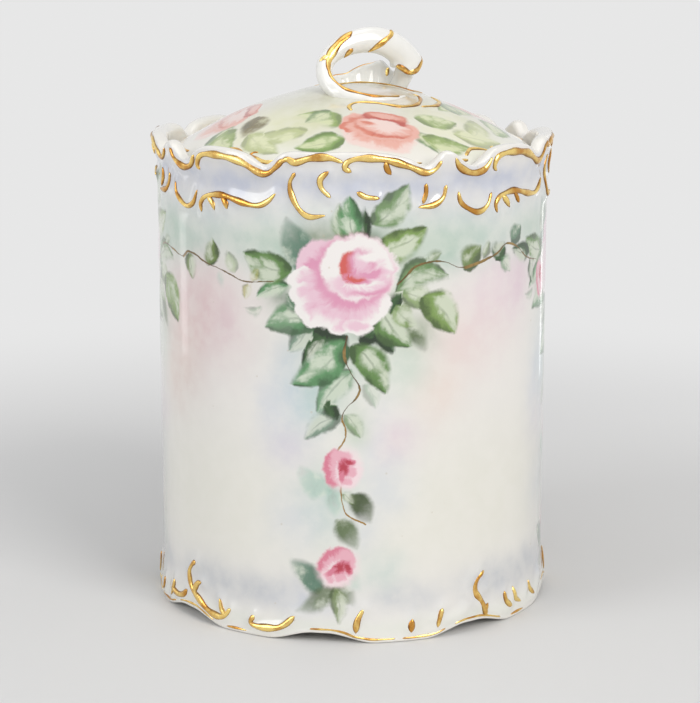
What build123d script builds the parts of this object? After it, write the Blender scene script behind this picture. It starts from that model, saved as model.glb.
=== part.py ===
from build123d import *

import os
from math import cos, radians, sin, sqrt

# Porcelain keeper jar: straight wall, scalloped rim and foot, set-in domed lid with a loop handle,
# and raised gilt scrolls in four equal panels round the rim band and the foot.
# Millimetres, +Z up, origin on the table under the middle of the foot.

# Panels
panel_count = 4
panel_angle = 360 / panel_count
front = -90                       # polar angle of the front panel's middle line

# Jar wall
wall_radius = 61.0                # outside of the straight wall
wall_thickness = 4.5
base_thickness = 5.0
cavity_chamfer = 5.0              # where the wall meets the floor, inside

# Foot
foot_flare = 1.4                  # the foot stands out from the wall by this much at the table
foot_height = 17.0                # where the flare runs into the straight wall
foot_ring_thickness = 5.0
foot_recess = 5.0                 # hollow under the base
foot_edge_chamfer = 0.8
foot_arch_count = 8
foot_arch_rise = 3.0
foot_arch_width = 31.0
foot_arch_turn = -9.0             # degrees from the front line to the middle of an arch

# Rim
rim_flare = 1.3                   # the rim stands out from the wall by this much at its crest
rim_height = 147.2                # crest of the scallops above the table
rim_thickness = 4.6
rim_edge_chamfer = 1.0
rim_fall = 0.9                    # the rim's top leans in towards the lid by this much
band_height = 20.0                # relief band, measured down from the crest
rim_flare_share = 0.75            # the part of the relief band, from the crest down, that flares

# Gallery that carries the lid
seat_depth = 8.8                  # from the crest down to the lid's seat
seat_width = 7.2                  # ledge under the lid's edge, inwards from the rim
gallery_thickness = 3.5
gallery_slope_height = 7.0        # the gallery's underside slopes back to the wall over this height

# Lid
lid_clearance = 1.5               # round the lid's edge, inside the rim
lid_edge_thickness = 3.4
lid_edge_fillet = 1.6
lid_thickness = 4.2
dome_rise = 19.9                  # from the top of the lid's edge to the crown
flange_clearance = 0.8            # round the flange, inside the mouth
flange_thickness = 3.6
flange_depth = 8.0                # below the seat
flange_edge_chamfer = 1.0

# Loop handle
handle_span = 33.0                # across the loop
handle_depth = 24.0               # front foot to back foot
handle_rise = 23.2                # from the ends of its roots to the top of the loop
handle_strap_width = 8.6
handle_strap_thickness = 7.4
handle_root_depth = 6.0           # the roots and the leaf start this far below the crown, trimmed to the dome
leaf_thickness = 3.4              # shell leaf behind the loop
leaf_height = 13.5
leaf_length = 22.0
leaf_set_back = 9.5               # from the jar's axis to the leaf's face

# Gilt scrolls
rim_scroll_width = 2.8
rim_scroll_height = 1.3           # off the wall, at its crest
band_scroll_width = 2.2
band_scroll_height = 1.0
foot_scroll_width = 2.0
foot_scroll_height = 0.9
scroll_root = 0.3                 # a ridge starts this far inside the wall before it is trimmed to it

overrun = 3.0                     # how far a cutter runs past what it cuts

# Sizes worked out from the ones above
seat_height = rim_height - seat_depth
band_base = rim_height - band_height
rim_flare_height = rim_flare_share * band_height
floor_height = foot_recess + base_thickness
cavity_radius = wall_radius - wall_thickness
foot_radius = wall_radius + foot_flare
foot_inner_radius = foot_radius - foot_ring_thickness
rim_radius = wall_radius + rim_flare
rim_inner_radius = rim_radius - rim_thickness
mouth_radius = rim_inner_radius - seat_width
lid_radius = rim_inner_radius - lid_clearance
lid_edge_height = seat_height + lid_edge_thickness
crown_height = lid_edge_height + dome_rise
flange_radius = mouth_radius - flange_clearance
flange_inner_radius = flange_radius - flange_thickness
flange_bottom = seat_height - flange_depth

# Outlines, as shares. Round the jar a place is (share of a panel's angle from its middle,
# share of the height of the relief band or of the foot's flare).
rim_wave_shares = [
    (-0.430, 1.000), (-0.345, 0.940), (-0.275, 0.800), (-0.205, 0.980), (-0.100, 1.000), (0.065, 1.000),
    (0.165, 0.910), (0.230, 0.800), (0.300, 0.990), (0.390, 0.760), (0.480, 0.950), (0.570, 1.000),
]
dome_shares = [(1.0, 0.0), (0.643, 0.533), (0.3, 0.865), (0.0, 1.0)]
dome_edge_slope_share = 0.56      # rise per length inwards, at the lid's edge
rim_scroll_shares = {
    "rim_long_scrolls": [
        (-0.528, 0.650), (-0.512, 0.790), (-0.440, 0.880), (-0.350, 0.820), (-0.278, 0.675), (-0.215, 0.840),
    ],
    "rim_hook_scrolls": [
        (-0.170, 0.870), (-0.060, 0.880), (0.090, 0.870), (0.170, 0.785), (0.230, 0.675), (0.280, 0.830),
    ],
    "rim_cup_scrolls": [(0.315, 0.850), (0.342, 0.720), (0.392, 0.635), (0.430, 0.700), (0.446, 0.790)],
}
band_scroll_shares = {
    "band_long_scrolls": [
        (-0.520, 0.030), (-0.515, 0.220), (-0.440, 0.330), (-0.350, 0.250), (-0.280, 0.230), (-0.230, 0.400),
    ],
    "band_c_scrolls": [(-0.165, 0.690), (-0.190, 0.500), (-0.165, 0.250), (-0.115, 0.110), (-0.065, 0.130)],
    "band_cup_scrolls": [(0.338, 0.370), (0.355, 0.180), (0.405, 0.080), (0.448, 0.180), (0.464, 0.350)],
}
foot_scroll_shares = {
    "foot_s_scrolls": [
        (-0.575, 1.080), (-0.605, 0.800), (-0.570, 0.500), (-0.490, 0.320), (-0.400, 0.440),
    ],
    "foot_cup_scrolls": [(-0.325, 0.450), (-0.298, 0.290), (-0.240, 0.270), (-0.182, 0.480)],
    "foot_sprigs": [(0.030, 0.620), (0.016, 0.430), (0.008, 0.230)],
    "foot_ticks": [(0.290, 0.520), (0.280, 0.380), (0.270, 0.230)],
}
# The handle's line, as shares of its span, depth and rise, and of the strap's full size there.
handle_shares = [
    (-0.13, -0.50, 0.00, 1.10), (-0.29, -0.40, 0.35, 0.95), (-0.37, -0.25, 0.57, 0.80),
    (-0.27, -0.13, 0.76, 0.85), (-0.02, -0.03, 0.85, 1.00), (0.22, 0.08, 0.83, 1.05),
    (0.42, 0.19, 0.67, 1.05), (0.48, 0.30, 0.44, 1.00), (0.35, 0.36, 0.00, 1.10),
]
leaf_shares = [
    (-0.50, 0.00), (-0.36, 0.57), (-0.08, 0.70), (0.14, 1.00), (0.30, 0.77), (0.50, 0.84), (0.50, 0.00),
]


def flare(rise, height, above):
    # How far an arc that leaves the wall upright has moved out, above its start.
    if rise == 0 or above <= 0:
        return 0.0
    radius = (height**2 + rise**2) / (2 * rise)
    return radius - sqrt(radius**2 - above**2)


def outside_radius(z):
    # Outside of the jar at a height: the straight wall, flared to the rim and to the foot.
    to_rim = flare(rim_flare, rim_flare_height, z - (rim_height - rim_flare_height))
    to_foot = flare(foot_flare, foot_height, foot_height - z)
    return wall_radius + to_rim + to_foot


def round_the_jar(angle, radius, z):
    turn = radians(front + angle)
    return Vector(radius * cos(turn), radius * sin(turn), z)


def ring_edge(solid, radius, z):
    # The circular edge of a turned solid nearest to a radius and a height.
    rings = solid.edges().filter_by(GeomType.CIRCLE)
    return rings.sort_by(lambda edge: abs(edge.radius - radius) + abs(edge.center().Z - z))[0]


def jar_section():
    # Half section of the jar, left tall at the rim until its edge is cut to the scallops.
    flare_start = rim_height - rim_flare_height
    blank_height = rim_height + overrun
    blank_radius = outside_radius(blank_height)
    slope_foot = seat_height - gallery_thickness - gallery_slope_height
    with BuildSketch(Plane.XZ) as section:
        with BuildLine():
            Line((0, foot_recess), (foot_inner_radius, foot_recess))
            Line((foot_inner_radius, foot_recess), (foot_inner_radius, 0))
            Line((foot_inner_radius, 0), (foot_radius, 0))
            TangentArc((wall_radius, foot_height), (foot_radius, 0), tangent=(0, -1))
            Line((wall_radius, foot_height), (wall_radius, flare_start))
            TangentArc((wall_radius, flare_start), (blank_radius, blank_height), tangent=(0, 1))
            Line((blank_radius, blank_height), (rim_inner_radius, blank_height))
            Line((rim_inner_radius, blank_height), (rim_inner_radius, seat_height))
            Line((rim_inner_radius, seat_height), (mouth_radius, seat_height))
            Line((mouth_radius, seat_height), (mouth_radius, seat_height - gallery_thickness))
            Line((mouth_radius, seat_height - gallery_thickness), (cavity_radius, slope_foot))
            Line((cavity_radius, slope_foot), (cavity_radius, floor_height))
            Line((cavity_radius, floor_height), (0, floor_height))
            Line((0, floor_height), (0, foot_recess))
        make_face()
    return section.sketch


def rim_wave(panel, radius):
    # Wavy line of the rim's top over one panel, from crest to crest, at a radius.
    fall = rim_fall * (rim_radius - radius) / rim_thickness
    points = []
    for turn_share, height_share in rim_wave_shares:
        angle = (panel + turn_share) * panel_angle
        points.append(round_the_jar(angle, radius, band_base + height_share * band_height - fall))
    end_shares = [rim_wave_shares[0][0], rim_wave_shares[-1][0]]
    level = [round_the_jar((panel + share) * panel_angle + 90, 1, 0) for share in end_shares]
    return Spline(*points, tangents=level, tangent_scalars=(1, 1)).edge()


def make_blank():
    # The turned jar before its edges are scalloped, with its seam where a panel starts.
    blank = revolve(jar_section(), Axis.Z)
    blank = chamfer(ring_edge(blank, cavity_radius, floor_height), cavity_chamfer)
    blank = chamfer(ring_edge(blank, foot_radius, 0), foot_edge_chamfer)
    return blank.rotate(Axis.Z, front + rim_wave_shares[0][0] * panel_angle)


def make_jar(blank):
    jar = blank
    for panel in range(panel_count):
        inner_wave = rim_wave(panel, rim_inner_radius - overrun)
        outer_wave = rim_wave(panel, rim_radius + overrun)
        sheet = Face.make_surface_from_curves(inner_wave, outer_wave)
        jar -= extrude(sheet, amount=band_height, dir=(0, 0, 1))
    wavy_edges = jar.edges().filter_by(lambda edge: (edge @ 0.5).Z > seat_height + overrun)
    outer_edges = wavy_edges.sort_by(Edge.length)[-panel_count:]
    jar = chamfer(outer_edges, rim_edge_chamfer)
    arch_radius = foot_arch_rise / 2 + foot_arch_width**2 / (8 * foot_arch_rise)
    arch = Cylinder(arch_radius, foot_ring_thickness + 2 * overrun, rotation=(0, 90, 0))
    for index in range(foot_arch_count):
        angle = foot_arch_turn + index * 360 / foot_arch_count
        place = round_the_jar(angle, foot_radius - foot_ring_thickness / 2, foot_arch_rise - arch_radius)
        jar -= Location(place, (0, 0, front + angle)) * arch
    return jar


def make_dome():
    # Everything under the lid's upper face, down to its seat.
    dome = [(share * lid_radius, lid_edge_height + rise * dome_rise) for share, rise in dome_shares]
    with BuildSketch(Plane.XZ) as section:
        with BuildLine():
            Spline(*dome, tangents=[(-1, dome_edge_slope_share), (-1, 0)], tangent_scalars=(1, 1))
            Polyline(dome[-1], (0, seat_height), (lid_radius, seat_height), dome[0])
        make_face()
    solid = revolve(section.sketch, Axis.Z)
    return fillet(ring_edge(solid, lid_radius, lid_edge_height), lid_edge_fillet)


def make_lid(dome):
    # The dome hollowed from below, with the flange that keeps it over the mouth.
    hollow_crown = crown_height - lid_thickness
    with BuildSketch(Plane.XZ) as section:
        with BuildLine():
            Spline((0, hollow_crown), (flange_inner_radius, lid_edge_height),
                   tangents=[(1, 0), (1, -dome_edge_slope_share)])
            Polyline((flange_inner_radius, lid_edge_height), (flange_inner_radius, flange_bottom),
                     (0, flange_bottom), (0, hollow_crown))
        make_face()
    flange = Cylinder(flange_radius, flange_depth, align=(Align.CENTER, Align.CENTER, Align.MAX))
    lid = dome + Pos(0, 0, seat_height) * flange - revolve(section.sketch, Axis.Z)
    return chamfer(ring_edge(lid, flange_radius, flange_bottom), flange_edge_chamfer)


def make_handle(dome):
    # Loop of oval sections, fused to the leaf behind it and trimmed to the dome it stands on.
    base = crown_height - handle_root_depth
    line = [Vector(x * handle_span, y * handle_depth, base + z * handle_rise) for x, y, z, _ in handle_shares]
    chord = line[-1] - line[0]
    across = Vector(chord.Y, -chord.X, 0)    # towards the front, so the loop's seam stays clear of the leaf
    sections = []
    for index, (_, _, _, size) in enumerate(handle_shares):
        before = line[max(index - 1, 0)]
        after = line[min(index + 1, len(line) - 1)]
        place = Plane(line[index], x_dir=across, z_dir=after - before)
        sections.append(place * Ellipse(size * handle_strap_width / 2, size * handle_strap_thickness / 2))
    loop = loft(sections)
    with BuildSketch(Plane.XZ.offset(-leaf_set_back)) as leaf:
        with BuildLine():
            edge = [(x * leaf_length, base + z * leaf_height) for x, z in leaf_shares]
            Spline(*edge[:4])
            Spline(*edge[3:6])
            Polyline(edge[5], edge[6], edge[0])
        make_face()
    return loop + extrude(leaf.sketch, amount=-leaf_thickness) - dome


def make_scrolls(blank, shares, width, ridge_height, low, height):
    # One ridge laid on the wall along a line, trimmed to the wall, and its copies in the other panels.
    line = []
    outer = []
    for turn_share, height_share in shares:
        z = low + height_share * height
        line.append(round_the_jar(turn_share * panel_angle, outside_radius(z), z))
        outer.append(round_the_jar(turn_share * panel_angle, outside_radius(z) + overrun, z))
    path = Spline(*line)
    place = Plane(path @ 0, x_dir=outer[0] - line[0], z_dir=path % 0)
    spread = width / 2 * (ridge_height + scroll_root) / ridge_height
    section = Polygon((-scroll_root, -spread), (-scroll_root, spread), (ridge_height, 0), align=None)
    ridge = sweep(place * section, path, binormal=Spline(*outer).edge()) - blank
    return Compound([ridge.rotate(Axis.Z, panel * panel_angle) for panel in range(panel_count)])


def main():
    os.makedirs("parts", exist_ok=True)
    blank = make_blank()
    dome = make_dome()
    parts = {"jar_body": make_jar(blank), "lid": make_lid(dome), "lid_handle": make_handle(dome)}
    for name, shares in rim_scroll_shares.items():
        parts[name] = make_scrolls(blank, shares, rim_scroll_width, rim_scroll_height, band_base, band_height)
    for name, shares in band_scroll_shares.items():
        parts[name] = make_scrolls(blank, shares, band_scroll_width, band_scroll_height, band_base, band_height)
    for name, shares in foot_scroll_shares.items():
        parts[name] = make_scrolls(blank, shares, foot_scroll_width, foot_scroll_height, 0, foot_height)
    for name, part in parts.items():
        export_step(part, f"parts/{name}.step")


if __name__ == "__main__":
    main()
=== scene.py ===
from math import pi, radians

import bmesh
import bpy
import numpy as np
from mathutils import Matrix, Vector


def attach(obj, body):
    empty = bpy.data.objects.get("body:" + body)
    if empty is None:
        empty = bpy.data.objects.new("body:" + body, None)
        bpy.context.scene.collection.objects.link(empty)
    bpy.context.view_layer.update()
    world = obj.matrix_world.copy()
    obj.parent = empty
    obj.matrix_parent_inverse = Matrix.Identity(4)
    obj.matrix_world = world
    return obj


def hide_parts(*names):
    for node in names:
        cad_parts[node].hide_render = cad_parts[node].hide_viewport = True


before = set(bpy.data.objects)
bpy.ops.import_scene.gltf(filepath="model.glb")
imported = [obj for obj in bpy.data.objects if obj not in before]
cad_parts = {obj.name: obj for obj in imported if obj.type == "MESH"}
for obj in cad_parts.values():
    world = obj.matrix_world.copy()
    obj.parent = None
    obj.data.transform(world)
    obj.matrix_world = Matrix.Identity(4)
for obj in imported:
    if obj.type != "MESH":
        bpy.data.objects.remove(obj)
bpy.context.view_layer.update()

mm = 0.001   # sizes of the jar and its painting are in millimetres
panels = 4   # the ornament repeats round the jar

jarShape = {
    "columns": 512,                                              # points round the jar
    "wall": 61.0, "footFlare": 1.2, "footTop": 17.0,
    "rimFlare": 0.8, "flareStart": 132.2, "flareHeight": 15.0,
    "crest": 147.2, "waveStart": 128.0,                          # above this the wall follows the rim's wave
    "mouth": 57.7, "seat": 138.4, "base": 5.0, "floor": 10.0,
    "roll": 0.7, "rollSpread": 4.2,                              # soft roll under every gilt line
    "rollAbove": 124.0, "rollBelow": 22.0,
    "cove": 0.45, "coveHeight": 136.5, "coveReach": 4.0,         # shallow cove between the two rows of gold
    "archHeight": 3.0, "archTurn": 9.0, "archStep": 45.0,        # arches of the foot's edge, in degrees
    "archHalf": 15.5, "archSlope": 13.5, "archEnd": 12.0,
    # degrees from a panel's middle and height of the rim
    "rimWave": [(-38.7, 147.2), (-31.0, 146.0), (-24.6, 143.0), (-18.4, 146.9), (-9.0, 147.2), (5.9, 147.2),
                (14.9, 145.4), (20.7, 143.0), (27.0, 147.0), (35.1, 142.3), (43.2, 146.6)],
    # radius and height under the base, then radius and height over the foot's edge
    "under": [(6, 5), (22, 5), (40, 5), (53, 5), (56.4, 4.9), (57.2, 4.3)],
    "foot": [(57.4, 3.4), (57.5, 0.7), (58.0, 0.15), (58.7, 0), (61.0, 0), (61.9, 0.1), (62.3, 0.45)],
    "levels": [(0.9, 18, 26), (18, 126, 86), (126, 146.7, 32)],  # heights on the wall: from, to, how many
    # share of the way from the wall in to the mouth, drop below the wave
    "rim": [(0.04, 0.22), (0.14, 0.0), (0.30, -0.12), (0.50, -0.05), (0.70, 0.15), (0.86, 0.55), (0.96, 1.1),
            (1.0, 1.9)],
    "mouthSteps": (0.35, 0.7, 0.95),
    # radius and height from the ledge down to the floor inside
    "inside": [(57.3, 138.4), (54, 138.4), (51, 138.4), (50.6, 138.1), (50.5, 137.6), (50.5, 135.2),
               (50.9, 134.8), (53.5, 131.4), (56.2, 128.3), (56.5, 127.4), (56.5, 100), (56.5, 70),
               (56.5, 40), (56.5, 16), (56.1, 13.4), (54.6, 11.2), (51.5, 10.1), (49, 10), (30, 10),
               (10, 10)],
}
degree = radians(1) * jarShape["wall"]   # millimetres along the wall
panelTurn = 360 / panels
panelWidth = panelTurn * degree
wholeWidth = panels * panelWidth

# lines and meshes


def smoothLine(points, spacing=0.5, samples=24, fewest=8):
    # evenly spaced curve through the points
    given = np.array(points, float)
    ends = np.vstack([2 * given[0] - given[1], given, 2 * given[-1] - given[-2]])
    t = np.linspace(0, 1, samples, endpoint=False)[:, None]
    spans = []
    for k in range(len(given) - 1):
        a, b, c, d = ends[k:k + 4]
        curve = 2 * b + (c - a) * t + (2 * a - 5 * b + 4 * c - d) * t**2
        spans.append(0.5 * (curve + (3 * b - a - 3 * c + d) * t**3))
    line = np.vstack(spans + [given[-1:]])
    travel = lengthAlong(line)
    even = np.linspace(0, travel[-1], max(int(travel[-1] / spacing), fewest))
    return np.stack([np.interp(even, travel, line[:, i]) for i in range(line.shape[1])], 1)


def lengthAlong(line):
    return np.r_[0, np.cumsum(np.linalg.norm(np.diff(line, axis=0), axis=1))]


def smoothStep(value, low, high):
    t = np.clip((value - low) / (high - low), 0, 1)
    return t * t * (3 - 2 * t)


def wrap(value, width):
    # into a span of this width round 0
    return (value + width / 2) % width - width / 2


def unit(vectors):
    return vectors / np.maximum(np.linalg.norm(vectors, axis=1), 1e-9)[:, None]


def roundPoint(reach, turn, z):
    # turn 0 faces the front
    return np.stack([reach * np.sin(turn), -reach * np.cos(turn), z + 0 * turn], 1)


def gapSquared(x, y, dots):
    # from each point to the nearest dot
    return ((x[:, None] - dots[:, 0]) ** 2 + (y[:, None] - dots[:, 1]) ** 2).min(1)


def makePiece(name, points, faces, values=None):
    mesh = bpy.data.meshes.new(name)
    mesh.from_pydata((np.asarray(points) * mm).tolist(), [], faces)
    for key, data in (values or {}).items():
        kind = "FLOAT_COLOR" if data.ndim == 2 else "FLOAT"
        held = mesh.attributes.new(key, kind, "POINT").data
        held.foreach_set("color" if data.ndim == 2 else "value", data.astype(np.float32).ravel())
    shell = bmesh.new()
    shell.from_mesh(mesh)
    bmesh.ops.recalc_face_normals(shell, faces=shell.faces)
    shell.to_mesh(mesh)
    shell.free()
    mesh.polygons.foreach_set("use_smooth", [True] * len(mesh.polygons))
    piece = bpy.data.objects.new(name, mesh)
    bpy.context.scene.collection.objects.link(piece)
    return piece


def ringFaces(rows, columns, first=0):
    # quads between closed rings, with a single point before the first ring and one after the last
    faces = []
    start = first + 1
    top = start + (rows - 1) * columns
    for j in range(rows - 1):
        for i in range(columns):
            a, b = start + j * columns + i, start + j * columns + (i + 1) % columns
            faces.append((a, b, b + columns, a + columns))
    for i in range(columns):
        faces.append((first, start + (i + 1) % columns, start + i))
        faces.append((top + columns, top + i, top + (i + 1) % columns))
    return faces


# gilt ornament: half width and height, then lines in degrees from a panel's middle and millimetres up
# panels to the left and right of the front one have foot scrolls of their own, the side lines

goldWork = {
    "rimLongScrolls": {"node": "rim_long_scrolls", "half": 1.25, "height": 0.6, "lines": [
        [(-46.6, 140.0), (-47.6, 141.4), (-46.6, 143.9), (-43.5, 145.0), (-37.7, 144.9), (-31.6, 143.7),
         (-26.2, 141.0), (-23.5, 140.8), (-21.2, 142.4), (-18.6, 145.2)],
    ]},
    "rimHookScrolls": {"node": "rim_hook_scrolls", "half": 1.2, "height": 0.6, "lines": [
        [(-19.6, 144.0), (-17.6, 145.2), (-15.3, 144.4), (-11.0, 145.7), (-6.2, 145.9), (-2.4, 144.6)],
        [(-0.2, 141.8), (-1.9, 143.0), (-1.0, 144.9), (2.6, 145.8), (8.9, 145.3), (15.2, 143.2),
         (19.9, 141.2), (22.6, 141.9), (24.6, 144.4)],
        [(8.8, 144.8), (9.3, 142.6), (10.4, 140.9)],
    ]},
    "rimCupScrolls": {"node": "rim_cup_scrolls", "half": 1.2, "height": 0.6, "lines": [
        [(28.7, 145.0), (30.4, 142.2), (34.6, 140.2), (38.9, 140.9), (41.2, 144.2)],
    ]},
    "bandLongScrolls": {"node": "band_long_scrolls", "half": 1.05, "height": 0.55, "lines": [
        [(-46.2, 127.6), (-46.6, 130.3), (-44.0, 132.6), (-38.0, 133.2), (-31.0, 131.6), (-26.5, 131.2),
         (-23.5, 132.6), (-21.2, 135.0)],
        [(-43.8, 132.4), (-42.0, 130.6), (-41.0, 128.6)],
        [(-38.6, 132.8), (-37.2, 131.2), (-36.4, 129.4)],
    ]},
    "bandCScrolls": {"node": "band_c_scrolls", "half": 0.95, "height": 0.5, "lines": [
        [(-15.4, 141.4), (-17.0, 138.4), (-16.6, 134.8), (-14.5, 130.8), (-11.6, 128.7), (-7.2, 129.2)],
        [(-6.3, 142.0), (-8.6, 139.6), (-8.2, 136.8), (-5.8, 134.3)],
        [(1.2, 136.0), (3.7, 134.5), (7.4, 134.1)],
    ]},
    "bandCupScrolls": {"node": "band_cup_scrolls", "half": 0.95, "height": 0.5, "lines": [
        [(20.3, 138.0), (20.3, 135.0), (19.3, 132.2)],
        [(26.4, 137.2), (25.4, 133.6), (22.6, 131.6), (18.0, 131.2)],
        [(30.2, 135.0), (30.9, 131.9), (33.4, 129.8), (36.9, 128.5), (40.0, 130.0), (41.7, 133.8)],
    ]},
    "footSScrolls": {"node": "foot_s_scrolls", "half": 1.3, "height": 0.5, "lines": [
        [(-51.4, 18.0), (-53.0, 17.2), (-54.9, 14.0), (-53.6, 9.7), (-49.6, 6.6), (-43.9, 3.8), (-39.3, 3.8),
         (-36.6, 6.9)],
        [(-48.7, 12.2), (-50.3, 11.6), (-51.9, 9.4), (-51.2, 7.6)],
    ], "sideLines": [
        [(-49.2, 18.0), (-51.8, 15.4), (-52.6, 12.0), (-50.4, 8.4), (-48.4, 3.6)],
        [(-47.8, 7.4), (-49.2, 5.4), (-48.6, 3.8)],
    ]},
    "footCupScrolls": {"node": "foot_cup_scrolls", "half": 1.2, "height": 0.5, "lines": [
        [(-28.6, 6.4), (-29.6, 4.0), (-27.2, 3.1), (-22.0, 3.4), (-19.0, 4.9), (-16.2, 7.8)],
        [(-66.0, 5.9), (-62.0, 5.0), (-58.2, 5.8), (-55.6, 8.0)],
    ], "sideLines": [
        [(-41.0, 9.4), (-40.0, 6.0), (-37.6, 3.8)],
        [(-36.2, 9.6), (-35.2, 6.0), (-32.0, 3.6)],
        [(-26.2, 8.6), (-25.2, 5.4), (-23.4, 3.6)],
    ]},
    "footSprigs": {"node": "foot_sprigs", "half": 1.1, "height": 0.45, "lines": [
        [(3.0, 10.6), (1.4, 7.0), (0.9, 3.4)],
        [(16.9, 6.9), (16.4, 2.8)],
    ]},
    "footTicks": {"node": "foot_ticks", "half": 1.1, "height": 0.45, "lines": [
        [(26.1, 9.0), (25.2, 6.2), (24.3, 3.4)],
        [(49.2, 9.2), (50.0, 6.0), (51.8, 3.8)],
    ]},
}


def wallLines(lines):
    return [smoothLine(np.array(line) * (degree, 1)) for line in lines]


ridgeDots = np.vstack([line[::2] for work in goldWork.values() for line in wallLines(work["lines"])])
ridgeDots = np.vstack([ridgeDots, ridgeDots + (panelWidth, 0), ridgeDots - (panelWidth, 0)])

# jar wall: scalloped rim, arched foot, soft moulding under the gold

waveRound = [(turn + panelTurn * k, z) for k in (-1, 0, 1) for turn, z in jarShape["rimWave"]]
waveLine = smoothLine(waveRound, spacing=0.25)


def rimTop(x):
    return np.interp(wrap(x, panelWidth) / degree, waveLine[:, 0], waveLine[:, 1])


def footEdge(x):
    off = np.abs(wrap(x / degree + jarShape["archTurn"], jarShape["archStep"]))
    return jarShape["archHeight"] * smoothStep(jarShape["archHalf"] - off, 0, jarShape["archSlope"])


def wallRadius(z):
    rimShare = np.maximum((z - jarShape["flareStart"]) / jarShape["flareHeight"], 0)
    footShare = np.maximum((jarShape["footTop"] - z) / jarShape["footTop"], 0)
    return jarShape["wall"] + jarShape["rimFlare"] * rimShare**2 + jarShape["footFlare"] * footShare**2


def relief(x, z):
    raised = np.zeros_like(z)
    near = (z > jarShape["rollAbove"]) | (z < jarShape["rollBelow"])
    gap = gapSquared(wrap(x[near], panelWidth), z[near], ridgeDots)
    raised[near] = jarShape["roll"] * np.exp(-gap / jarShape["rollSpread"])
    return raised - jarShape["cove"] * np.exp(-((z - jarShape["coveHeight"]) / jarShape["coveReach"]) ** 2)


def wallPoint(x, z, lift=0.0):
    return roundPoint(wallRadius(z) + relief(x, z) + lift, x / jarShape["wall"], z)


columns = jarShape["columns"]
quarter = columns // panels
turnX = (np.arange(columns) / columns - 0.5) * wholeWidth
topZ, lowZ = rimTop(turnX), footEdge(turnX)


def flatRing(radius, height):
    return np.full(columns, radius), np.full(columns, height)


rings = [flatRing(*place) for place in jarShape["under"]]   # radius and height all the way round
for radius, lift in jarShape["foot"]:
    rings.append((np.full(columns, radius), np.minimum(lowZ + lift, jarShape["under"][-1][1])))
outerFirst = len(rings)
levels = np.unique(np.concatenate([np.linspace(*span) for span in jarShape["levels"]]))
for z in levels:
    waved = (topZ - jarShape["crest"]) * smoothStep(z, jarShape["waveStart"], levels[-1])
    arched = lowZ * (1 - smoothStep(z, levels[0], jarShape["archEnd"]))
    height = z + waved + arched
    moulded = np.tile(relief(turnX[:quarter], height[:quarter]), panels)
    rings.append((wallRadius(height) + moulded, height))
outerLast = len(rings)
outerTop = rings[-1][0]
for share, drop in jarShape["rim"]:
    rings.append((outerTop + (jarShape["mouth"] - outerTop) * share, topZ - drop))
for share in jarShape["mouthSteps"]:
    height = (topZ - jarShape["rim"][-1][1]) * (1 - share) + jarShape["seat"] * share
    rings.append((np.full(columns, jarShape["mouth"]), height))
rings += [flatRing(*place) for place in jarShape["inside"]]
jarX = np.tile(turnX, len(rings))
jarRadius, jarZ = np.concatenate(rings, axis=1)
jarPoints = roundPoint(jarRadius, jarX / jarShape["wall"], jarZ)
jarPoints = np.vstack([[(0, 0, jarShape["base"])], jarPoints, [(0, 0, jarShape["floor"])]])
outer = np.arange(1 + outerFirst * columns, 1 + outerLast * columns)   # points of the painted wall
print("jar wall", len(rings), "rings")

# painting: each motif writes its own place and shape on the points near it, and the shader colours it

leafLayers = 3
blankMarks = {
    "leafForm": (0.0, 0.0, 0.0, -3.0),   # along, across, strength, distance inside the outline
    "leafTint": (0.5, 0.5, 0.5, 0.5),    # colour, share of plain brushwork
    "flower": (3.0, 3.0, 0.0, -1.0),     # across, up, 1 near a flower, distance inside
    "stem": (1.5, 0.0, 0.0, 99.0),       # aside, reach, width, distance
}
leafOutline = {"fullness": 2.95, "basePower": 0.64, "tipPower": 0.96, "finest": 0.5, "endFall": 1.5,
               "margin": 3.0, "far": 3.0}
flowerReach = {"search": 2.2, "inside": 1.7}   # in flower sizes
stemBrush = {"width": 0.42, "taper": 0.5, "reach": 1.6, "endFall": 1.5, "spacing": 0.3, "search": 4.0,
             "margin": 5.0, "aside": 1.5}


def blankCanvas(count):
    kinds = {"rose": "flower", "bud": "flower", "stem": "stem"}
    for layer in range(leafLayers):
        kinds[f"leafForm{layer}"] = "leafForm"
        kinds[f"leafTint{layer}"] = "leafTint"
    canvas = {key: np.tile(blankMarks[kind], (count, 1)) for key, kind in kinds.items()}
    canvas["stemGold"] = np.zeros(count)
    return canvas


def linear(colour):
    # colours are written 0 to 255 as seen on a screen
    c = np.array(colour, float) / 255
    return np.where(c <= 0.04045, c / 12.92, ((c + 0.055) / 1.055) ** 2.4)


def layWash(wash, cover, colour):
    return wash * (1 - cover[:, None]) + linear(colour) * cover[:, None]


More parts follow.
